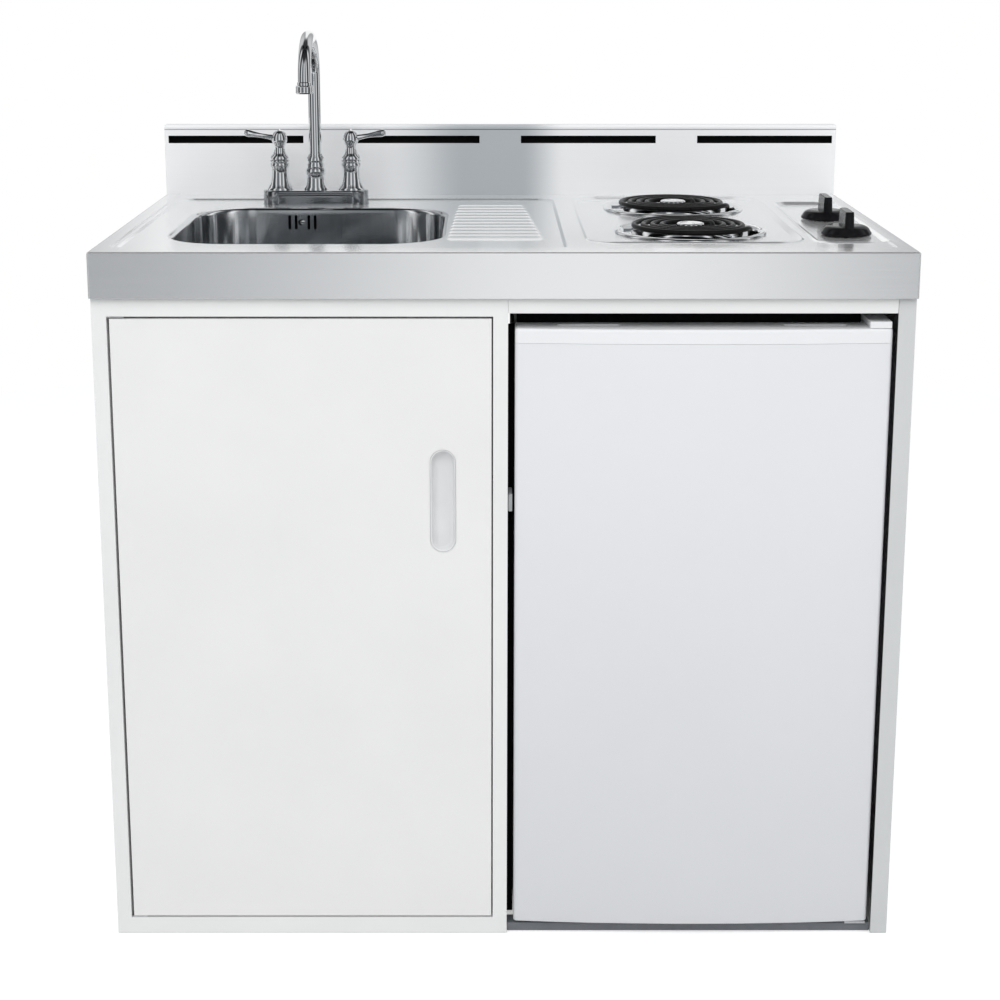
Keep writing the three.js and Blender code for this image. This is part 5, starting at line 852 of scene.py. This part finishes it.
for place in ("front", "rear"):
    x, y = centre_of("drip_pan_" + place).xy
    bm = carve(ring(pan_outline, x, y, deck_z, 96), [
        cutter((x + 0.058, y - notch_half), (x + 0.1, y + notch_half), deck_z + pan_floor, 0.023),
        cutter((x + 0.074, y - notch_half), (x + 0.0875, y + notch_half), deck_z - 0.020, 0.03,
               0.003)])
    piece("chrome_drip_pan_" + place, bm, chrome, ["drip_pan_" + place], sharp=50)

    bm = spin([(0, medal_low), (0.0172, medal_low), (0.018, medal_low + 0.001), (0.018, -0.0022),
               (0.0172, -0.0008), (0.0155, -0.0001), (0.0138, -0.0003), (0.0125, -0.0012),
               (0.006, -0.0012), (0.0045, -0.0004), (0, -0.0001)], x, y, medal_top, 64)
    for angle in (60, 180, 300):
        arm = cutter((0.0, -arm_half), (arm_length, arm_half), arm_low, arm_high - arm_low)
        soften(arm, 0.0005)
        join(bm, turn_and_move(arm, angle, "Z", (x, y, 0)))
    piece("coil_trivet_" + place, bm, chrome, ["coil_support_" + place])

    bm = bmesh.new()
    tube(bm, [point + Vector((x, y, coil_z)) for point in coil_route()], coil_wire, 12)
    piece("coil_" + place, bm, coil_black, ["coil_element_" + place], "coil_" + place)
    softened("element_socket_" + place, ceramic, 0.0012, "socket_block_" + place)

# ---------- Hob box and heat controls ----------
# A folded galvanised box under the burners keeps the wiring apart. Two heat switches hang
# beside it under the worktop, and each has a glossy black knob with a tall narrow grip across
# its skirt.

softened("hob_housing", galvanised, 0.0006, "wiring_box")
skirt_radius, skirt_height, bore_radius = 0.0319, 0.012, 0.0033
grip_half = Vector((0.0064, 0.0268))
for place in ("front", "rear"):
    softened("heat_switch_" + place, galvanised, 0.0006, "switch_case_" + place)
    middle = centre_of("heat_knob_" + place).xy
    base, knob_top = (corner.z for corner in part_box("heat_knob_" + place))
    bm = spin([
        (0.0, 0.0), (0.0312, 0.0), (skirt_radius, 0.0008), (skirt_radius, 0.0026),
        (0.0308, 0.0040), (0.0285, 0.0078), (0.0262, 0.0098), (0.0230, 0.0112),
        (0.0160, skirt_height - 0.0001), (0.0, skirt_height)], *middle, base, 80)
    grip = cutter(middle - grip_half, middle + grip_half, base + 0.004,
                  knob_top - base - 0.0041, 0.0058, -0.04, 8)
    soften(grip, 0.0016, 3, edges_above(grip, knob_top - 0.001))
    bm = carve(bm, [grip], "UNION")
    bm = carve(bm, [round_cutter(*middle, bore_radius, base - 0.002, base + 0.0143, 24)])
    soften(bm, 0.0008, 2, [
        e for e in bm.edges if e.is_manifold and e.calc_face_angle() > math.radians(50)
        and all(-0.0025 < v.co.z - base - skirt_height < 0.001 for v in e.verts)])
    piece("control_knob_" + place, bm, black_plastic, ["heat_knob_" + place], "knob_" + place,
          sharp=35)

# ---------- Cupboard door ----------
# A pan of white sheet steel with turned edges, and a long recessed finger pull let into it.
# It hangs on two pins, and a roller catch on the partition holds it shut.

bm = cad_copy("cupboard_door")
panel_low, panel_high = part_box("cupboard_door")
# The skin reaches past the door's solid by this much, to keep the gaps round it thin.
turned_edge, reach_right, reach_up, reach_down = 0.003, 0.0013, 0.0008, 0.0010
for v in bm.verts:
    if v.co.x > panel_high.x - turned_edge:
        v.co.x += reach_right
    if v.co.z > panel_high.z - turned_edge:
        v.co.z += reach_up
    if v.co.z < panel_low.z + turned_edge:
        v.co.z -= reach_down
pull_low, pull_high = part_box("door_pull")


def near_pull(v):
    """Whether a point of the skin is at the pull's opening."""
    near = 0.003
    return (pull_low.x - near < v.co.x < pull_high.x + near
            and pull_low.z - near < v.co.z < pull_high.z + near)


soften(bm, 0.0014, 3, [e for e in bm.edges
                       if e.is_manifold and e.calc_face_angle() > math.radians(25)
                       and all(v.co.y < panel_low.y + 1e-5 for v in e.verts)
                       and not all(near_pull(v) for v in e.verts)])
door_paint = finish("door_white", "white_paint", [(0.82, 0.816, 0.808), (0.845, 0.841, 0.833)],
                    (0.3, 0.4), grain=8, bump=0.14, bump_grain=700)
piece("cupboard_door_panel", bm, door_paint, ["cupboard_door"], "cupboard_door")

cup_front, cup_depth = pull_low.y + 0.0001, pull_high.y - pull_low.y - 0.0001
opening, cup_foot, flange_width = Vector((0.0154, 0.0644)), 0.004, Vector((0.0024, 0.0024))
bm = bmesh.new()
face = plate(bm, -opening, opening, 0, opening.x, 14)
foot_steps = [(inward, down) for down, inward in quarter(6, cup_foot)]
sink_face(bm, face, [(0.0009, 0.0), (0.0005, 0.0005), (0.0003, 0.0008),
                     (0.0004, cup_depth - 0.0068), *foot_steps])
thicken(bm, 0.0012)
flange = bmesh.new()
outline = opening + flange_width
face = plate(flange, -outline, outline, -0.0014, outline.x, 14)
sink_face(flange, face, [(0.0032, 0)])
bmesh.ops.delete(flange, geom=[face], context="FACES")
join(bm, thicken(flange, 0.0010))
pull_centre = centre_of("door_pull")
turn_and_move(bm, 90, "X", (pull_centre.x, cup_front, pull_centre.z))
piece("finger_pull_cup", bm, white_plastic, ["door_pull"], "cupboard_door")

zinc_plate = finish("zinc_plate", "zinc", [(0.50, 0.01), (0.66, 0.01)], (0.26, 0.42), grain=90,
                    bump=0.1, metal=1.0)
grey_plastic = finish("grey_plastic", "grey_plastic", [(0.40, 0.01), (0.50, 0.01)], (0.4, 0.55),
                      grain=60, bump=0.2)
softened("cupboard_hinge_upper", zinc_plate, 0.0005)
softened("cupboard_hinge_lower", zinc_plate, 0.0005)
softened("door_catch", grey_plastic, 0.0012)

# ---------- Refrigerator cabinet ----------
# A dark painted steel shell over foam, with a moulded white liner that has a step at the back
# for the machine compartment. It stands on two screw-in feet in front and a bar behind. Black
# felt strips in the gaps round it are painted shade, and a soft clip keeps it from rattling.


def block(low, high, radius):
    """A closed block between two corners, with its edges rounded."""
    bm = cutter(low[:2], high[:2], low[2], high[2] - low[2])
    soften(bm, radius, 3 if radius > 0.002 else 2)
    return bm


def drawn(outline, low, high):
    """A closed block with an outline of X and Y points, between two heights."""
    bm = bmesh.new()
    face = bm.faces.new([bm.verts.new((x, y, low)) for x, y in outline])
    lid = bmesh.ops.extrude_face_region(bm, geom=[face], use_keep_orig=True)["geom"]
    bmesh.ops.translate(bm, vec=(0, 0, high - low),
                        verts=[part for part in lid if isinstance(part, bmesh.types.BMVert)])
    return outward(bm)


# The shell's dark colour is partly its own paint and partly painted shade, so that the gaps round
# the door look dark.
dark_paint = finish("dark_paint", "dark_paint", [(0.035, 0.036, 0.038), (0.05, 0.051, 0.053)],
                    (0.38, 0.5), grain=30, bump=0.25)
foam = finish("foam", "foam", [(0.62, 0.55, 0.38), (0.72, 0.66, 0.5)], (0.75, 0.9), grain=220,
              bump=0.6)
fridge_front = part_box("fridge_liner")[0].y
fridge_low, fridge_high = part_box("fridge_shell")
softened("fridge_shell", dark_paint, 0.0004)
softened("fridge_insulation", foam, 0.001)
softened("fridge_side_clip", grey_plastic, 0.0012)
# Painted shade: black felt strips in the gaps beside and above the door, where there is only shadow.
for name, low, high in [
    ("left", (0.0061, fridge_front + 0.004, 0.0006), (0.0137, fridge_front + 0.020, 0.783)),
    ("right", (0.4683, fridge_front + 0.004, 0.0006), (0.4719, fridge_front + 0.020, 0.783)),
    ("top", (0.0165, -0.2405, 0.7853), (0.4385, -0.2285, 0.8125)),
]:
    piece("gap_shade_strip_" + name, block(low, high, 0.001), shade_felt)

inner_left, inner_right, inner_back = 0.0518, 0.4302, 0.1792
inner_bottom, inner_top, step_front, step_top = 0.0598, 0.7472, 0.0292, 0.2198
inner_corner, liner_wall = 0.014, 0.0014


def food_space(grow, front):
    """The stepped food space as a closed block with rounded corners, grown all round."""
    side_view = [(inner_bottom - grow, front), (inner_bottom - grow, step_front + grow),
                 (step_top - grow, step_front + grow), (step_top - grow, inner_back + grow),
                 (inner_top + grow, inner_back + grow), (inner_top + grow, front)]
    bm = turn_and_move(drawn(side_view, -inner_right - grow, -inner_left + grow), -90, "Y")
    soften(bm, inner_corner + grow, 4, [e for e in bm.edges
                                        if max(v.co.y for v in e.verts) > front + 0.001
                                        and e.is_convex and e.calc_face_angle() > 0.5])
    return bm


bm = carve(food_space(liner_wall, fridge_front + 0.0002), [food_space(0, fridge_front - 0.02)])
flange = block((fridge_low.x + 0.001, fridge_front, 0.023),
               (fridge_high.x - 0.001, fridge_front + 0.0015, 0.784), 0.0005)
mid_wall = liner_wall / 2
opening = cutter((inner_left - mid_wall, inner_bottom - mid_wall),
                 (inner_right + mid_wall, inner_top + mid_wall), -fridge_front - 0.01, 0.02,
                 inner_corner, segments=4)
join(bm, carve(flange, [turn_and_move(opening, 90, "X")]))
ledge_depth, ledge_height, ledge_sunk = 0.0045, 0.006, 0.0004
for z in (0.400, 0.6189):
    for x in (inner_left - ledge_sunk, inner_right + ledge_sunk - ledge_depth):
        join(bm, block((x, fridge_front + 0.060, z - ledge_height), (x + ledge_depth, 0.165, z),
                       0.0012))
liner_white = finish("liner_white", "white_plastic", [(0.785, 0.79, 0.79), (0.80, 0.805, 0.805)],
                     (0.29, 0.31), grain=4, spread=(0.1, 0.9))
piece("moulded_liner", bm, liner_white, ["fridge_liner"])
for place in ("left", "right"):
    bm = spin([(0, 0), (0.0135, 0), (0.015, 0.0015), (0.015, 0.0065), (0.0138, 0.008),
               (0.008, 0.0092), (0.005, 0.0105), (0.005, 0.0217), (0, 0.0217)],
              *centre_of("fridge_foot_" + place).xy, steps=40)
    piece("screw_foot_" + place, bm, grey_plastic, ["fridge_foot_" + place])

# ---------- Compressor and condenser ----------
# A black hermetic compressor with a welded seam stands on a plate in the open compartment at
# the back. The condenser is a flat snake of tube over the refrigerator's back, with thin
# upright wires spot-welded across both of its sides.

machine_black = finish("machine_black", "black_enamel",
                       [(0.012, 0.012, 0.013), (0.03, 0.03, 0.031)], (0.22, 0.38), grain=50,
                       bump=0.1)
x, y = centre_of("compressor").xy
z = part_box("compressor")[0].z
origin = Vector((x, y, z))
bm = spin([(0, 0.002), (0.028, 0.002), (0.040, 0.0075), (0.050, 0.0165), (0.0565, 0.0275),
           (0.058, 0.036), (0.058, 0.060), (0.0598, 0.0612), (0.0598, 0.0642), (0.058, 0.0655),
           (0.058, 0.088), (0.0565, 0.096), (0.0525, 0.104), (0.0455, 0.1105),
           (0.034, 0.1155), (0.018, 0.1175), (0, 0.118)], x, y, z, 64)
join(bm, block((x - 0.080, y - 0.052, z), (x + 0.080, y + 0.052, z + 0.003), 0.001))
for side_x, side_y in [(-0.060, -0.038), (-0.060, 0.038), (0.060, -0.038), (0.060, 0.038)]:
    join(bm, spin([(0, 0.002), (0.0105, 0.002), (0.0115, 0.004), (0.0115, 0.008),
                   (0.0085, 0.010), (0.0085, 0.0125), (0.0105, 0.0145), (0.0105, 0.0165),
                   (0.0085, 0.018), (0, 0.018)], x + side_x, y + side_y, z, 24))
join(bm, block((x + 0.030, y - 0.022, z + 0.045), (x + 0.0705, y + 0.022, z + 0.092), 0.003))
piece("hermetic_compressor", bm, machine_black, ["compressor"])
copper = finish("copper_line", "zinc", [(0.62, 0.30, 0.18), (0.78, 0.42, 0.28)], (0.22, 0.4),
                grain=70, metal=1.0)
bm = bmesh.new()
for radius, points in [
    (0.003, [(-0.045, 0.03, 0.085), (-0.065, 0.042, 0.090), (-0.095, 0.050, 0.110),
             (-0.120, 0.052, 0.135), (-0.150, 0.052, 0.150)]),
    (0.004, [(-0.050, -0.02, 0.070), (-0.075, -0.02, 0.075), (-0.110, -0.02, 0.095),
             (-0.125, -0.02, 0.150)]),
]:
    tube(bm, flowing([origin + Vector(point) for point in points], 8), radius)
piece("refrigerant_lines", bm, copper)

condenser_low, condenser_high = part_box("condenser_coil")
tube_radius, pitch, runs, run_half = 0.0026, 0.056, 9, 0.170
middle_x, snake_y = centre_of("condenser_coil").x, condenser_high.y - tube_radius
bottom = condenser_low.z + 0.006
top = bottom + (runs - 1) * pitch
route = []
for run in range(runs):
    z = bottom + run * pitch
    side = 1 if run % 2 == 0 else -1
    route += [(middle_x - side * run_half, z), (middle_x, z)]
    if run < runs - 1:
        route += [(middle_x + side * (run_half + out), z + pitch / 2 + up)
                  for out, up in arc(pitch / 2, -90, 78, 14)]
    else:
        route.append((middle_x + side * run_half, z))
bm = bmesh.new()
tube(bm, [(x, snake_y, z) for x, z in route], tube_radius, 12)
bracket_in, bracket_half = 0.030, 0.006
for x in (middle_x - run_half + bracket_in, middle_x + run_half - bracket_in):
    for z in (bottom, top):
        join(bm, block((x - bracket_half, condenser_low.y, z - bracket_half),
                       (x + bracket_half, snake_y - 0.0012, z + bracket_half), 0.001))
wire_radius, wire_count, wire_half, wire_past = 0.0007, 30, run_half - 0.012, 0.010
for index in range(wire_count):
    x = middle_x - wire_half + 2 * wire_half * index / (wire_count - 1)
    for side in (-1, 1):
        y = snake_y + side * (tube_radius + wire_radius - 0.0003)
        tube(bm, [(x, y, bottom - wire_past), (x, y, top + wire_past)], wire_radius, 8)
piece("wire_and_tube_condenser", bm, machine_black, ["condenser_coil"])

# ---------- Inside the refrigerator ----------
# An aluminium freezer box under the ceiling with a white flap, a drip tray that slides under
# it, one coated wire shelf on the liner's ledges, and a thermostat housing with a grey dial.

aluminium = finish("aluminium", "aluminium", [(0.72, 0.01), (0.80, 0.01)], (0.25, 0.4), grain=1,
                   bump=0.08, bump_grain=1, stretch=(3, 300, 300), metal=1.0)
softened("freezer_box", aluminium, 0.0006)
softened("freezer_flap", white_plastic, 0.0009, body="freezer_flap")
softened("drip_tray", white_plastic, 0.0006, body="drip_tray")
softened("thermostat_housing", white_plastic, 0.0018)

coated_wire = finish("coated_wire", "wire_coat", [(0.76, 0.005), (0.82, 0.005)], (0.25, 0.36),
                     grain=60, coat=0.2)
low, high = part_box("wire_shelf")
wire, wires, wire_inset = 0.0023, 13, 0.008
bm = bmesh.new()
for y in (low.y + wire + 0.0001, centre_of("wire_shelf").y, high.y - wire - 0.0001):
    tube(bm, [(low.x, y, low.z + wire), (high.x, y, low.z + wire)], wire, 14)
for index in range(wires):
    x = low.x + wire_inset + (high.x - low.x - 2 * wire_inset) * index / (wires - 1)
    tube(bm, [(x, low.y, high.z - wire), (x, high.y, high.z - wire)], wire, 14)
piece("shelf_wires", bm, coated_wire, ["wire_shelf"], "wire_shelf")

bm = spin([(0, 0.0), (0.0136, 0), (0.014, 0.0006), (0.0138, 0.008), (0.0128, 0.0096),
           (0.011, 0.010), (0, 0.010)])
grip = cutter((-0.0025, -0.0118), (0.0025, 0.0118), 0.009, 0.0075, 0.0018)
soften(grip, 0.0008, 2, edges_above(grip, 0.016))
bm = carve(bm, [grip], "UNION")
bm = carve(bm, [round_cutter(0, 0, 0.0028, -0.001, 0.0072, 20)])
dial = centre_of("thermostat_knob")
turn_and_move(bm, 90, "X", (dial.x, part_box("thermostat_knob")[1].y - 0.0002, dial.z))
piece("thermostat_dial", bm, grey_plastic, ["thermostat_knob"], "thermostat_knob", sharp=35)

# ---------- Refrigerator door ----------
# A cool white steel skin that bows out in the middle, closed on top by a moulded white cap
# with two finger scoops. Behind it are a magnetic gasket and a liner with two racks and a
# bottle rail.

door_low, door_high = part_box("fridge_door_shell")
cap_low, cap_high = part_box("fridge_door_cap")
bow, skin, pin_radius, corner = 0.009, 0.0012, 0.0043, 0.0045
side_y = door_low.y + bow
pivot = (0.460, -0.2865)


def bowed(inset, back):
    """The door seen from above: flat sides and back, and a front that bows out."""
    left, right = door_low.x + inset, door_high.x - inset
    half = (right - left) / 2
    radius = (half ** 2 + bow ** 2) / (2 * bow)
    spread = math.degrees(math.asin(half / radius))
    front_arc = arc(radius, -90 - spread, -90 + spread, 40,
                    ((left + right) / 2, side_y + inset - bow + radius))
    return [(right, back), (left, back), *front_arc]


def door_block(back, low, high):
    """A closed block of the door's outline, with its two upright front edges rounded."""
    bm = drawn(bowed(0, back), low, high)
    soften(bm, corner, 5, [
        e for e in bm.edges if abs(e.verts[0].co.z - e.verts[1].co.z) > 0.005
        and max(v.co.y for v in e.verts) < side_y + 0.003
        and min(abs(e.verts[0].co.x - door_low.x), abs(e.verts[0].co.x - door_high.x)) < 0.0005])
    return bm


bm = door_block(door_high.y, door_low.z, door_high.z)
soften(bm, 0.002, 3, [e for e in bm.edges if e.calc_face_angle() > 1
                      and max(v.co.z for v in e.verts) < door_low.z + 1e-5])
inside = drawn(bowed(skin + 0.003, door_high.y + 0.01), door_low.z + skin + 0.001,
               door_high.z + 0.01)
pin_hole = round_cutter(*pivot, pin_radius, door_low.z - 0.002, door_low.z + 0.010, 24)
bm = carve(bm, [inside, pin_hole])
fridge_paint = finish("fridge_door_paint", "door_paint",
                      [(0.785, 0.79, 0.81), (0.805, 0.81, 0.83)], (0.26, 0.34), grain=5,
                      bump=0.2, bump_grain=520, spread=(0.15, 0.85))
# Painted shade: the skin's colour darkens towards the bottom, as less light falls there from above.
shade_along(fridge_paint, "Z", 0.0, 0.8, [(0.0, (0.87, 0.875, 0.875)), (1.0, 1.0)])
piece("bowed_door_skin", bm, fridge_paint, ["fridge_door_shell"], "fridge_door", sharp=30)

bm = door_block(cap_high.y, cap_low.z, cap_high.z)
soften(bm, 0.0035, 4, [e for e in edges_above(bm, cap_high.z - 1e-5)
                       if e.calc_face_angle() > 1])
tools = [round_cutter(*pivot, pin_radius, cap_high.z - 0.012, cap_high.z + 0.002, 24)]
scoop_in, scoop_half = 0.090, 0.037
for x in (door_low.x + scoop_in, door_high.x - scoop_in):
    tools.append(cutter((x - scoop_half, cap_high.y - 0.0275), (x + scoop_half, cap_high.y - 0.0165),
                        cap_high.z - 0.004, 0.008, 0.005, 0.6))
bm = carve(bm, tools)
# The cap's white is partly its own colour and partly painted light, raised to make up for the shade
# under the rail.
cap_white = finish("door_cap_white", "white_plastic", [(0.835, 0.84, 0.855), (0.845, 0.85, 0.865)],
                   (0.28, 0.3), grain=6, spread=(0.1, 0.9))
piece("moulded_door_cap", bm, cap_white, ["fridge_door_cap"], "fridge_door", sharp=30)
rubber = finish("gasket_rubber", "rubber", [(0.42, 0.01), (0.52, 0.01)], (0.55, 0.7), grain=50,
                bump=0.1)
softened("fridge_door_gasket", rubber, 0.0018, body="fridge_door", segments=3)
softened("fridge_door_liner", liner_white, 0.0006, body="fridge_door", segments=3)
softened("fridge_hinge_upper", cap_white, 0.0016, segments=3)
softened("fridge_hinge_lower", zinc_plate, 0.0007, segments=3)
